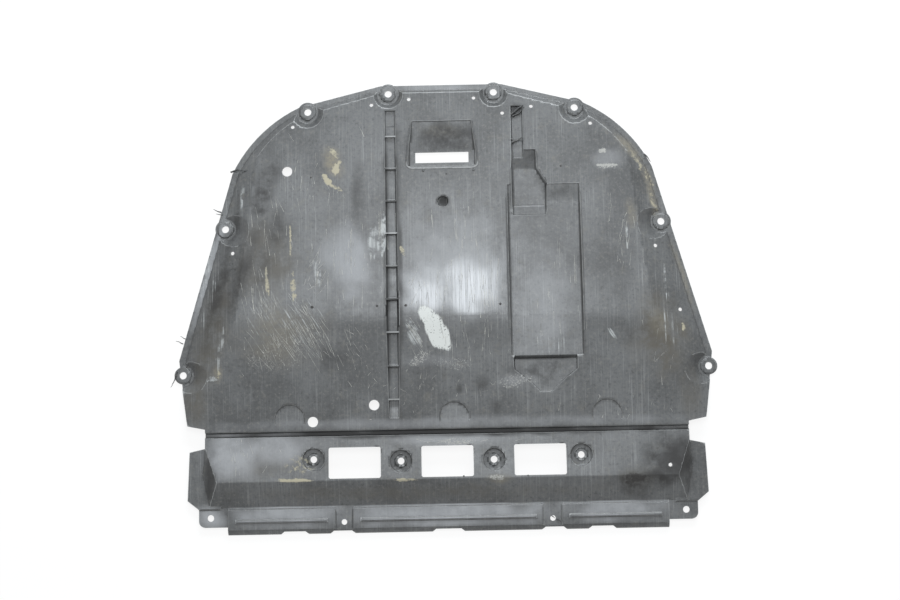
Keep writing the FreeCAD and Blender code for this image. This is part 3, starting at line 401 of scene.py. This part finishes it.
def scratch_material():
    """Plastic whitened where something sharp has scored it."""
    material = bpy.data.materials.new("Scored plastic")
    material.use_nodes = True
    tree = material.node_tree
    place = tree.nodes.new("ShaderNodeTexCoord").outputs["Object"]
    scored = remap(tree, noise(tree, place, *NOISES["scored"]), 0.36, 0.64)
    tone = mix_colour(tree, scored, rgba(SCORED_DARK), rgba(SCORED_PALE))
    shade = tree.nodes["Principled BSDF"]
    tree.links.new(tone, shade.inputs["Base Color"])
    shade.inputs["Roughness"].default_value = 0.55
    return material


def pip_shade_material():
    """Painted shade: the near-black inside of a small dimple, laid on a flat dome."""
    material = bpy.data.materials.new("Dark dimple")
    material.use_nodes = True
    tree = material.node_tree
    place = tree.nodes.new("ShaderNodeTexCoord").outputs["Object"]
    tone = mix_colour(tree, noise(tree, place, 900.0), rgba(PIP_SHADE_DARK), rgba(PIP_SHADE_PALE))
    shade = tree.nodes["Principled BSDF"]
    tree.links.new(tone, shade.inputs["Base Color"])
    shade.inputs["Roughness"].default_value = 0.7
    return material


def plastic_material(look, marked):
    """Black moulded plastic, bleached and scratched by use; marked adds the mud, scrapes and soot, painted
    shade, sheen and glare, painted shade in creases and a painted highlight on worn edges.
    """
    material = bpy.data.materials.new("Worn plastic" if marked else "Torn plastic")
    material.use_nodes = True
    tree = material.node_tree
    tree.nodes.clear()
    output = tree.nodes.new("ShaderNodeOutputMaterial")
    place = tree.nodes.new("ShaderNodeTexCoord").outputs["Object"]
    face = tree.nodes.new("ShaderNodeNewGeometry").outputs["Normal"]
    split = add_node(tree, "ShaderNodeSeparateXYZ", {"Vector": face})
    upward = remap(tree, split.outputs["Z"], 0.3, 0.8)
    front_side = remap(tree, split.outputs["Y"], -0.03, 0.03)
    level = remap(tree, split.outputs["Z"], 0.93, 0.98)

    cloud = noise(tree, place, *NOISES["cloud"])
    blotch = noise(tree, place, *NOISES["blotch"])
    mottle = noise(tree, place, *NOISES["mottle"])
    rubbed = streaks(tree, place, 0.0, (560.0, 9.0))
    slanted = streaks(tree, place, -31.0, (560.0, 12.0))
    grain = noise(tree, place, *NOISES["grain"])

    depth = 1.0 if marked else TORN_SHARE
    dark = tuple(c * DARK_SHARE * depth for c in look.plastic)
    pale = tuple(c * PALE_SHARE * depth for c in look.plastic)
    colour = mix_colour(tree, remap(tree, cloud, 0.32, 0.68), rgba(dark), rgba(pale))
    colour = mix_colour(tree, maths(tree, "MULTIPLY", remap(tree, blotch, 0.55, 0.75), 0.35), colour,
                        rgba(BLOTCH_TONE))
    colour = mix_colour(tree, remap(tree, mottle, 0.50, 0.76, 0.0, 0.6), colour, rgba(MOTTLE_PALE))
    colour = mix_colour(tree, remap(tree, mottle, 0.48, 0.26, 0.0, 0.6), colour, rgba(MOTTLE_DARK))
    uneven = maths(tree, "MULTIPLY", maths(tree, "SUBTRACT", blotch, 0.5), 0.35)
    rough = maths(tree, "ADD", look.roughness, uneven)
    fine = maths(tree, "MULTIPLY", remap(tree, rubbed, 0.52, 0.74), remap(tree, cloud, 0.34, 0.62, 0.25, 1.0))
    colour = mix_colour(tree, maths(tree, "MULTIPLY", fine, 0.4), colour, rgba(RUBBED_TONE))
    cross = maths(tree, "MULTIPLY", remap(tree, slanted, 0.66, 0.76), remap(tree, blotch, 0.40, 0.60))
    colour = mix_colour(tree, maths(tree, "MULTIPLY", cross, 0.30), colour, rgba(CROSS_TONE))

    specks = noise(tree, place, *NOISES["specks"])
    chalky = maths(tree, "SUBTRACT", maths(tree, "ADD", 0.30, maths(tree, "MULTIPLY", rubbed, 0.65)),
                   remap(tree, specks, 0.56, 0.70, 0.0, 0.55))
    patterns = {
        "cloudy": noise(tree, place, *NOISES["cloudy"]),
        "blotchy": noise(tree, place, *NOISES["blotchy"]),
        "speckled": specks,
        "along": rubbed,
        "slanted": slanted,
        "chalky": chalky,
    }
    gaps = remap(tree, noise(tree, place, *NOISES["gaps"]), 0.36, 0.60)
    for kind, (tone, kind_rough, pattern, soft) in KINDS.items() if marked else ():
        painted = add_node(tree, "ShaderNodeAttribute", attribute_name="mark_" + kind).outputs["Fac"]
        if pattern == "plain":
            amount = painted
        elif soft:
            least = 0.7 if kind in EVEN_KINDS else 0.35
            amount = maths(tree, "MULTIPLY", painted, remap(tree, patterns[pattern], 0.34, 0.62, least, 1.0))
        else:
            limit = maths(tree, "SUBTRACT", 0.84, maths(tree, "MULTIPLY", painted, 0.62))
            amount = remap(tree, patterns[pattern], maths(tree, "SUBTRACT", limit, 0.11),
                           maths(tree, "ADD", limit, 0.11))
            amount = maths(tree, "MULTIPLY", amount, remap(tree, painted, 0.02, 0.35))
            if pattern in ("along", "slanted"):
                amount = maths(tree, "MULTIPLY", amount, gaps)
        if kind in FRONT_ONLY:
            amount = maths(tree, "MULTIPLY", amount, front_side)
        if kind in LEVEL_ONLY:
            amount = maths(tree, "MULTIPLY", amount, level)
        colour = mix_colour(tree, amount, colour, rgba(tone))
        rough = add_node(tree, "ShaderNodeMix", {"Factor": amount, 2: rough, 3: kind_rough}).outputs[0]

    if marked:
        # Painted shade in the creases along concave edges
        crease_shade = add_node(tree, "ShaderNodeAttribute", attribute_name="edge_concave").outputs["Fac"]
        colour = mix_colour(tree, remap(tree, crease_shade, 0.5, 1.0, 0.0, 0.6), colour, rgba(CREASE_SHADE_TONE))
        # Paler convex edges that face up: wear, and a painted highlight where rounded edges catch the lamps
        outer = add_node(tree, "ShaderNodeAttribute", attribute_name="edge_convex").outputs["Fac"]
        patchy = remap(tree, blotch, 0.30, 0.58, 0.35, 1.0)
        bare = maths(tree, "MULTIPLY", remap(tree, outer, 0.6, 1.0), patchy)
        bare = maths(tree, "MULTIPLY", maths(tree, "MULTIPLY", bare, upward), look.edge_wear_and_glint)
        colour = mix_colour(tree, bare, colour, rgba(EDGE_WEAR_AND_GLINT))

    height = maths(tree, "ADD", maths(tree, "MULTIPLY", grain, 0.5), maths(tree, "MULTIPLY", rubbed, 0.9))
    height = maths(tree, "ADD", height, maths(tree, "MULTIPLY", blotch, 0.3))
    bump = add_node(tree, "ShaderNodeBump", {
        "Strength": 0.3, "Distance": 0.0004, "Height": height,
    }).outputs["Normal"]
    shade = add_node(tree, "ShaderNodeBsdfPrincipled", {
        "Base Color": colour, "Roughness": maths(tree, "MAXIMUM", rough, 0.18), "Normal": bump,
        "Specular IOR Level": 0.5,
    })
    tree.links.new(shade.outputs["BSDF"], output.inputs["Surface"])
    return material


# Pieces
# The solid's rear lip is longer than the photograph's: where the shortening starts, and the share left
LIP_FROM = -0.3715
LIP_LEFT = 0.45
# How far a moulded lip's middle lies under the surface, and where its painted highlight starts and is full
LIP_SINK = 0.0005
LIP_HIGHLIGHT = (0.258, 0.238)
# Bends sharper than the first are edges, those under the second are smooth, and those under the third flat
EDGE_TURN = math.radians(31)
SMOOTH_TURN = math.radians(24)
FLAT_TURN = math.radians(0.2)
# Cuts that carry the marks: least upward slope, shift off the mesh's own corners, what counts as one place
CUT_UPWARD = 0.2
CUT_SHIFT = 0.00017
SAME_PLACE = 1e-6
# How marks are bent out of shape by noise, and how softly they end
SHAKE_SEED = 5
SHAKE_SCALE = 30.0
SHAKE = 0.4
SOFT_FADE = 1.0
HARD_FADE = 0.55
FADE_REACH = 0.25
# What is laid on the plate drops from here and rests where the face is this level
DROP_FROM = 1.0
LEVEL_ENOUGH = 0.9


def camera_axes(look):
    """The camera's right, up and back, tilted off the vertical and then rolled."""
    right = Vector((1.0, 0.0, 0.0))
    up = Vector((0.0, math.cos(look.tilt), math.sin(look.tilt)))
    back = Vector((0.0, -math.sin(look.tilt), math.cos(look.tilt)))
    rolled_right = math.cos(look.roll) * right - math.sin(look.roll) * up
    rolled_up = math.sin(look.roll) * right + math.cos(look.roll) * up
    return rolled_right, rolled_up, back


def on_plate(look, u, v):
    """The x and y that a pixel of the photograph shows, and the metres that a pixel spans there."""
    right, up, back = camera_axes(look)
    width, height = PHOTO_SIZE
    focal = width * look.lens / SENSOR_WIDTH
    eye = Vector(CAMERA_TARGET) + look.distance * back
    ray = right * ((u - width / 2) / focal) + up * ((height / 2 - v) / focal) - back
    z = 0.0
    for attempt in range(PROFILE_TRIES):
        place = eye + ray * ((z - eye.z) / ray.z)
        z = float(np.interp(place.y, PROFILE_Y, PROFILE_Z))
    return place.x, place.y, (look.distance - z) / focal


def span(face, axis):
    places = [v.co[axis] for v in face.verts]
    return min(places), max(places)


def cut_fine(work, step):
    """Cuts the upward faces along x and y, so that marks can be painted on their corners."""
    for axis in (0, 1):
        waiting = {f: span(f, axis) for f in work.faces if f.normal.z > CUT_UPWARD}
        low = min(first for first, last in waiting.values())
        high = max(last for first, last in waiting.values())
        normal = [0.0, 0.0, 0.0]
        normal[axis] = 1.0
        for i in range(1, int((high - low) / step)):
            spot = low + i * step + CUT_SHIFT
            point = [0.0, 0.0, 0.0]
            point[axis] = spot
            crossed = [f for f, (first, last) in waiting.items() if first < spot < last]
            waiting = {f: ends for f, ends in waiting.items() if ends[0] >= spot}
            edges = {e for f in crossed for e in f.edges}
            corners = {v for f in crossed for v in f.verts}
            found = bmesh.ops.bisect_plane(work, geom=[*corners, *edges, *crossed], dist=SAME_PLACE,
                                           plane_co=point, plane_no=normal)
            for part in found["geom"]:
                if isinstance(part, bmesh.types.BMFace) and part.is_valid:
                    ends = span(part, axis)
                    if ends[1] > spot + SAME_PLACE:
                        waiting[part] = ends


def plain_copy(source, name, step):
    """The CAD piece as one joined mesh, finely cut on its road side and smooth across shallow bends."""
    mesh = source.data.copy()
    mesh.name = name
    work = bmesh.new()
    work.from_mesh(mesh)
    bmesh.ops.remove_doubles(work, verts=work.verts, dist=SAME_PLACE)
    bmesh.ops.dissolve_limit(work, angle_limit=FLAT_TURN, verts=work.verts, edges=work.edges)
    cut_fine(work, step)
    for corner in work.verts:
        if corner.co.y < LIP_FROM:
            corner.co.y = LIP_FROM + (corner.co.y - LIP_FROM) * LIP_LEFT
    work.normal_update()
    convex = work.verts.layers.float.new("edge_convex")
    concave = work.verts.layers.float.new("edge_concave")
    for edge in work.edges:
        turn = edge.calc_face_angle_signed(0.0)
        if abs(turn) > EDGE_TURN:
            for corner in edge.verts:
                corner[convex if turn > 0 else concave] = 1.0
    work.to_mesh(mesh)
    work.free()
    mesh.shade_smooth()
    mesh.set_sharp_from_angle(angle=SMOOTH_TURN)
    obj = bpy.data.objects.new(name, mesh)
    bpy.context.scene.collection.objects.link(obj)
    return obj


def paint_marks(mesh, stage):
    """Writes how strong each kind of mark is at every corner of the mesh."""
    count = len(mesh.vertices)
    places = np.empty(count * 3)
    mesh.vertices.foreach_get("co", places)
    places = places.reshape(count, 3)
    soft_noise.seed_set(SHAKE_SEED)
    shake = SHAKE * np.array([soft_noise.noise_vector(Vector(place) * SHAKE_SCALE) for place in places])
    for kind in KINDS:
        strength = np.zeros(count)
        for name, mark_kind, pixel, half, turn, power, cover in MARKS:
            if mark_kind == "scuff" and abs(turn) >= SLANT_FROM:
                mark_kind = "slant"
            if mark_kind != kind:
                continue
            x, y, span_of_pixel = on_plate(stage, *pixel)
            angle = math.radians(turn)
            dx = places[:, 0] - x
            dy = places[:, 1] - y
            across = (dx * math.cos(angle) + dy * math.sin(angle)) / (half[0] * span_of_pixel) + shake[:, 0]
            along = (dy * math.cos(angle) - dx * math.sin(angle)) / (half[1] * span_of_pixel) + shake[:, 1]
            fade = SOFT_FADE if KINDS[kind][3] and kind != "soot_and_deep_shade" else HARD_FADE
            reach = np.clip((1.0 + FADE_REACH * fade - np.hypot(across, along)) / fade, 0.0, 1.0)
            reach = reach * reach * (3.0 - 2.0 * reach)
            strength = np.maximum(strength, reach * cover * (0.5 + 0.5 * power))
        layer = mesh.attributes.new("mark_" + kind, "FLOAT", "POINT")
        layer.data.foreach_set("value", strength.astype(np.float32))


def strand_tree(material):
    """A node tree that turns curves with a radius into strands."""
    tree = bpy.data.node_groups.new("Torn strands", "GeometryNodeTree")
    face = tree.interface
    face.new_socket("Geometry", in_out="INPUT", socket_type="NodeSocketGeometry")
    face.new_socket("Sides", in_out="INPUT", socket_type="NodeSocketInt")
    face.new_socket("Step", in_out="INPUT", socket_type="NodeSocketFloat")
    face.new_socket("Raggedness", in_out="INPUT", socket_type="NodeSocketFloat")
    face.new_socket("Geometry", in_out="OUTPUT", socket_type="NodeSocketGeometry")
    inside = tree.nodes.new("NodeGroupInput").outputs
    outside = tree.nodes.new("NodeGroupOutput")
    path = add_node(tree, "GeometryNodeResampleCurve", {
        "Curve": inside["Geometry"], "Length": inside["Step"],
    }, mode="LENGTH")
    shake = add_node(tree, "FunctionNodeRandomValue", {"Seed": STRAND_SEED}, data_type="FLOAT_VECTOR")
    shake.inputs["Min"].default_value = STRAND_SHAKE[0]
    shake.inputs["Max"].default_value = STRAND_SHAKE[1]
    offset = add_node(tree, "ShaderNodeVectorMath", {0: shake.outputs["Value"]}, operation="SCALE")
    tree.links.new(inside["Raggedness"], offset.inputs["Scale"])
    moved = add_node(tree, "GeometryNodeSetPosition", {
        "Geometry": path.outputs["Curve"], "Offset": offset.outputs["Vector"],
    })
    profile = add_node(tree, "GeometryNodeCurvePrimitiveCircle", {
        "Resolution": inside["Sides"], "Radius": 1.0,
    })
    radius = tree.nodes.new("GeometryNodeInputRadius")
    strand = add_node(tree, "GeometryNodeCurveToMesh", {
        "Curve": moved.outputs["Geometry"], "Profile Curve": profile.outputs["Curve"], "Fill Caps": True,
    })
    if "Scale" in strand.inputs:
        tree.links.new(radius.outputs["Radius"], strand.inputs["Scale"])
    real = add_node(tree, "GeometryNodeRealizeInstances", {"Geometry": strand.outputs["Mesh"]})
    painted = add_node(tree, "GeometryNodeSetMaterial", {
        "Geometry": real.outputs["Geometry"], "Material": material,
    })
    tree.links.new(painted.outputs["Geometry"], outside.inputs["Geometry"])
    return tree


def socket_id(tree, name):
    return next(item.identifier for item in tree.interface.items_tree
                if item.name == name and item.in_out == "INPUT")


def make_strands(name, paths, step, raggedness, material, sides=5, taper=0.75):
    """Strands along paths, each given as its points and the radius at its root, thinner towards the tip."""
    curve = bpy.data.curves.new(name + "_path", "CURVE")
    curve.dimensions = "3D"
    for points, root in paths:
        spline = curve.splines.new("POLY")
        spline.points.add(len(points) - 1)
        for i, point in enumerate(points):
            spline.points[i].co = (*point, 1.0)
            spline.points[i].radius = root * (1.0 - taper * i / (len(points) - 1))
    path = bpy.data.objects.new(name + "_path", curve)
    bpy.context.scene.collection.objects.link(path)
    tree = strand_tree(material)
    modifier = path.modifiers.new("strands", "NODES")
    modifier.node_group = tree
    for label, value in (("Sides", sides), ("Step", step), ("Raggedness", raggedness)):
        modifier[socket_id(tree, label)] = value
    bpy.context.view_layer.update()
    evaluated = path.evaluated_get(bpy.context.evaluated_depsgraph_get())
    mesh = bpy.data.meshes.new_from_object(evaluated)
    mesh.name = name
    bpy.data.objects.remove(path, do_unlink=True)
    obj = bpy.data.objects.new(name, mesh)
    bpy.context.scene.collection.objects.link(obj)
    if not mesh.polygons:
        raise RuntimeError(name + " came out empty")
    if not mesh.materials:
        mesh.materials.append(material)
    return obj


def road_side(plate):
    """A search tree that finds the height of the plate's road side."""
    bpy.context.view_layer.update()
    return BVHTree.FromObject(plate, bpy.context.evaluated_depsgraph_get())


def height_at(tree, x, y):
    """Height of the road side at a place, or None beside the plate or on a steep wall."""
    spot, normal, face, distance = tree.ray_cast(Vector((x, y, DROP_FROM)), Vector((0.0, 0.0, -1.0)))
    if spot is None or normal.z < LEVEL_ENOUGH:
        return None
    return spot.z


def scratch_paths(plate, stage):
    """Fine scratches in each field, at a set seed, laid on the road side."""
    tree = road_side(plate)
    chance = random.Random(SCRATCH_SEED)
    paths = []
    for name, pixel, half, lean, spread, count, shortest, longest in SCRATCH_FIELDS:
        middle_x, middle_y, span_of_pixel = on_plate(stage, *pixel)
        for i in range(count):
            angle = math.radians(lean + chance.gauss(0.0, spread * 0.5))
            bend = chance.uniform(-SCRATCH_BEND, SCRATCH_BEND)
            length = (shortest + (longest - shortest) * chance.random() ** 2) * span_of_pixel
            x = middle_x + half[0] * span_of_pixel * chance.gauss(0.0, 0.5)
            y = middle_y + half[1] * span_of_pixel * chance.gauss(0.0, 0.5)
            root = chance.uniform(*SCRATCH_RADII)
            steps = max(2, round(length / SCRATCH_PART))
            points = []
            for k in range(steps + 1):
                share = k / steps - 0.5
                turned = angle + bend * share
                px = x + share * length * math.sin(turned)
                py = y + share * length * math.cos(turned)
                pz = height_at(tree, px, py)
                if pz is None or points and abs(pz - points[-1][2]) > SCRATCH_DROP:
                    break
                points.append((px, py, pz - SCRATCH_SINK * root))
            if len(points) > 2:
                if chance.random() < 0.5:
                    points.reverse()
                paths.append((points, root))
    return paths


def paint_lip_highlight(mesh):
    """Paints a highlight on the rear of the lips, as a pale edge."""
    first, full = LIP_HIGHLIGHT
    layer = mesh.attributes.new("edge_convex", "FLOAT", "POINT")
    for corner in mesh.vertices:
        layer.data[corner.index].value = min(1.0, max(0.0, (first - corner.co.y) / (first - full)))


def make_domes(name, spots, flatness, material):
    """Small domes joined in one mesh; spots give x, y, z and radius."""
    mesh = bpy.data.meshes.new(name)
    work = bmesh.new()
    around, upright = DOME_SEGMENTS
    for x, y, z, radius in spots:
        turn = Matrix.Translation((x, y, z)) @ Matrix.Diagonal((1.0, 1.0, flatness, 1.0))
        bmesh.ops.create_uvsphere(work, u_segments=around, v_segments=upright, radius=radius, matrix=turn)
    work.to_mesh(mesh)
    work.free()
    mesh.shade_smooth()
    mesh.materials.append(material)
    obj = bpy.data.objects.new(name, mesh)
    bpy.context.scene.collection.objects.link(obj)
    return obj


# Stage
def seen_directly(tree):
    """1 for what the camera, a mirror or a glass shows, and 0 for the light that falls on the plate."""
    rays = tree.nodes.new("ShaderNodeLightPath").outputs
    mirrored = maths(tree, "MAXIMUM", rays["Is Glossy Ray"], rays["Is Transmission Ray"])
    return maths(tree, "MAXIMUM", rays["Is Camera Ray"], mirrored)


def white_floor(look):
    """A plain floor that shows white, with the plate's soft shadow left on it."""
    material = bpy.data.materials.new("Plain floor")
    material.use_nodes = True
    tree = material.node_tree
    tree.nodes.clear()
    output = tree.nodes.new("ShaderNodeOutputMaterial")
    matte = add_node(tree, "ShaderNodeBsdfDiffuse", {"Color": rgba(FLOOR_TONE)}).outputs["BSDF"]
    faint = add_node(tree, "ShaderNodeBsdfDiffuse", {"Color": rgba((look.floor_shadow,) * 3)}).outputs["BSDF"]
    glow = add_node(tree, "ShaderNodeEmission", {"Color": rgba(WHITE), "Strength": look.floor_glow})
    seen = add_node(tree, "ShaderNodeAddShader", {0: faint, 1: glow.outputs["Emission"]}).outputs["Shader"]
    mixed = add_node(tree, "ShaderNodeMixShader", {0: seen_directly(tree), 1: matte, 2: seen})
    tree.links.new(mixed.outputs["Shader"], output.inputs["Surface"])
    return material


def soft_box(name, place, target, size, power):
    light = bpy.data.lights.new(name, "AREA")
    light.shape = "RECTANGLE"
    light.size, light.size_y = size
    light.energy = power
    light.color = LAMP_TONE
    obj = bpy.data.objects.new(name, light)
    obj.location = place
    obj.rotation_euler = (Vector(target) - Vector(place)).to_track_quat("-Z", "Y").to_euler()
    bpy.context.scene.collection.objects.link(obj)
    return obj


class SKID_PG_look(bpy.types.PropertyGroup):
    """Sizes and tones of the dressed plate."""

    plastic: bpy.props.FloatVectorProperty(name="Plastic", description="Colour of the plastic",
                                           subtype="COLOR", size=3, default=(0.088, 0.092, 0.094))
    roughness: bpy.props.FloatProperty(name="Roughness", description="Roughness of clean plastic",
                                       default=0.36)
    # Share of paler edges: wear and a painted highlight
    edge_wear_and_glint: bpy.props.FloatProperty(name="Edge wear", description="Share of bare edges", default=0.55)
    paint_step: bpy.props.FloatProperty(name="Paint step", description="Spacing of the cuts for the marks",
                                        default=0.0045, unit="LENGTH")
    strand_step: bpy.props.FloatProperty(name="Fibre step", description="Length between bends of a fibre",
                                         default=0.003, unit="LENGTH")
    scratch_step: bpy.props.FloatProperty(name="Scratch step", description="Length between its bends",
                                          default=0.009, unit="LENGTH")
    raggedness: bpy.props.FloatProperty(name="Raggedness", description="Sideways shake of a torn fibre",
                                        default=0.0007, unit="LENGTH")


class SKID_PG_stage(bpy.types.PropertyGroup):
    """Floor, light and camera."""

    floor_shadow: bpy.props.FloatProperty(name="Floor shadow", description="How dark the shadow looks",
                                          default=0.15)
    floor_glow: bpy.props.FloatProperty(name="Floor glow", description="White of the floor", default=0.865)
    key_power: bpy.props.FloatProperty(name="Key light", description="Power of the soft box in front",
                                       default=16.0, unit="POWER")
    far_power: bpy.props.FloatProperty(name="Far light", description="Power of the low soft box farther off",
                                       default=75.0, unit="POWER")
    fill: bpy.props.FloatProperty(name="Fill light", description="Strength of the even light", default=0.45)
    tilt: bpy.props.FloatProperty(name="Camera tilt", description="Camera off the vertical",
                                  default=math.radians(6.0), subtype="ANGLE")
    roll: bpy.props.FloatProperty(name="Camera roll", description="Turn of the picture",
                                  default=math.radians(1.1), subtype="ANGLE")
    distance: bpy.props.FloatProperty(name="Camera distance", description="From the plate's middle",
                                      default=2.8, unit="LENGTH")
    lens: bpy.props.FloatProperty(name="Lens", description="Focal length in mm", default=67.2)


class SKID_OT_plate(bpy.types.Operator):
    """Dresses the moulded plate in worn plastic"""

    bl_idname = "skid.plate"
    bl_label = "Moulded plate"

    def execute(self, context):
        look = context.scene.skid_look
        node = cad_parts["skid_plate"]
        obj = plain_copy(node, "moulded_plate", look.paint_step)
        paint_marks(obj.data, context.scene.skid_stage)
        obj.data.materials.clear()
        obj.data.materials.append(plastic_material(look, True))
        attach(obj, "root")
        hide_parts("skid_plate")
        return {"FINISHED"}


class SKID_OT_details(bpy.types.Operator):
    """Adds the small nubs, the pips as painted shade and the rounded lips of the moulding, with a painted
    highlight on the lips' rear
    """

    bl_idname = "skid.details"
    bl_label = "Nubs, pips and lips"

    def execute(self, context):
        plate = bpy.data.objects["moulded_plate"]
        plastic = plate.data.materials[0]
        step = context.scene.skid_look.strand_step
        tree = road_side(plate)
        pips = [(x, y, height_at(tree, x, y), radius) for x, y, radius in PIPS]
        lips = []
        for places, radius in LIPS:
            lips.append(([(x, y, height_at(tree, x, y) - LIP_SINK) for x, y in places], radius))
        rounded = make_strands("moulded_lips", lips, step, 0.0, plastic, sides=10, taper=0.0)
        paint_lip_highlight(rounded.data)
        nubs = make_domes("nubs", NUBS, NUB_FLATNESS, plastic)
        pip_shades = make_domes("pips", pips, PIP_FLATNESS, pip_shade_material())
        for piece in (nubs, pip_shades, rounded):
            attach(piece, "root")
        return {"FINISHED"}


class SKID_OT_fibres(bpy.types.Operator):
    """Adds the torn fibres at the edges and the broken ribs of the short slot"""

    bl_idname = "skid.fibres"
    bl_label = "Torn fibres"

    def execute(self, context):
        look = context.scene.skid_look
        obj = make_strands("torn_fibres", SPLINTERS, look.strand_step, look.raggedness,
                           plastic_material(look, False))
        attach(obj, "root")
        return {"FINISHED"}


class SKID_OT_scratches(bpy.types.Operator):
    """Adds the fine scratches on the road side"""

    bl_idname = "skid.scratches"
    bl_label = "Fine scratches"

    def execute(self, context):
        step = context.scene.skid_look.scratch_step
        paths = scratch_paths(bpy.data.objects["moulded_plate"], context.scene.skid_stage)
        obj = make_strands("fine_scratches", paths, step, 0.0, scratch_material())
        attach(obj, "root")
        return {"FINISHED"}


class SKID_OT_stage(bpy.types.Operator):
    """Adds the floor, the lights and the camera"""

    bl_idname = "skid.stage"
    bl_label = "Stage"

    def execute(self, context):
        scene = context.scene
        look = scene.skid_stage
        scene.view_settings.view_transform = "Standard"
        mesh = bpy.data.meshes.new("floor")
        signs = ((-1, -1), (1, -1), (1, 1), (-1, 1))
        mesh.from_pydata([(x * FLOOR_REACH, y * FLOOR_REACH, 0) for x, y in signs], [], [(0, 1, 2, 3)])
        mesh.materials.append(white_floor(look))
        floor = bpy.data.objects.new("floor", mesh)
        scene.collection.objects.link(floor)

        world = bpy.data.worlds.new("Even light")
        world.use_nodes = True
        tree = world.node_tree
        back = tree.nodes["Background"]
        back.inputs["Color"].default_value = rgba(WHITE)
        strength = remap(tree, seen_directly(tree), 0.0, 1.0, look.fill, 1.0)
        tree.links.new(strength, back.inputs["Strength"])
        scene.world = world
        soft_box("front_box", *FRONT_BOX, look.key_power)
        soft_box("far_box", *FAR_BOX, look.far_power)

        axes = camera_axes(look)
        data = bpy.data.cameras.new("camera")
        data.sensor_width = SENSOR_WIDTH
        data.lens = look.lens
        data.clip_start, data.clip_end = CAMERA_CLIP
        camera = bpy.data.objects.new("camera", data)
        turn = Matrix(axes).transposed().to_4x4()
        camera.matrix_world = Matrix.Translation(Vector(CAMERA_TARGET) + look.distance * axes[2]) @ turn
        scene.collection.objects.link(camera)
        scene.camera = camera
        return {"FINISHED"}


class SKID_PT_panel(bpy.types.Panel):
    """Settings and buttons of the skid plate"""

    bl_idname = "SKID_PT_panel"
    bl_label = "Skid plate"
    bl_space_type = "VIEW_3D"
    bl_region_type = "UI"
    bl_category = "Skid plate"

    def draw(self, context):
        column = self.layout.column()
        for group in (context.scene.skid_look, context.scene.skid_stage):
            for name in group.bl_rna.properties.keys():
                if name not in ("rna_type", "name"):
                    column.prop(group, name)
        for operator in (SKID_OT_plate, SKID_OT_details, SKID_OT_scratches, SKID_OT_fibres, SKID_OT_stage):
            column.operator(operator.bl_idname)


CLASSES = (SKID_PG_look, SKID_PG_stage, SKID_OT_plate, SKID_OT_details, SKID_OT_scratches, SKID_OT_fibres,
           SKID_OT_stage, SKID_PT_panel)


def register():
    for item in CLASSES:
        bpy.utils.register_class(item)
    bpy.types.Scene.skid_look = bpy.props.PointerProperty(type=SKID_PG_look)
    bpy.types.Scene.skid_stage = bpy.props.PointerProperty(type=SKID_PG_stage)


def unregister():
    del bpy.types.Scene.skid_stage
    del bpy.types.Scene.skid_look
    for item in reversed(CLASSES):
        bpy.utils.unregister_class(item)


def main():
    register()
    bpy.ops.skid.plate()
    bpy.ops.skid.details()
    bpy.ops.skid.scratches()
    bpy.ops.skid.fibres()
    bpy.ops.skid.stage()


if __name__ == "__main__":
    main()
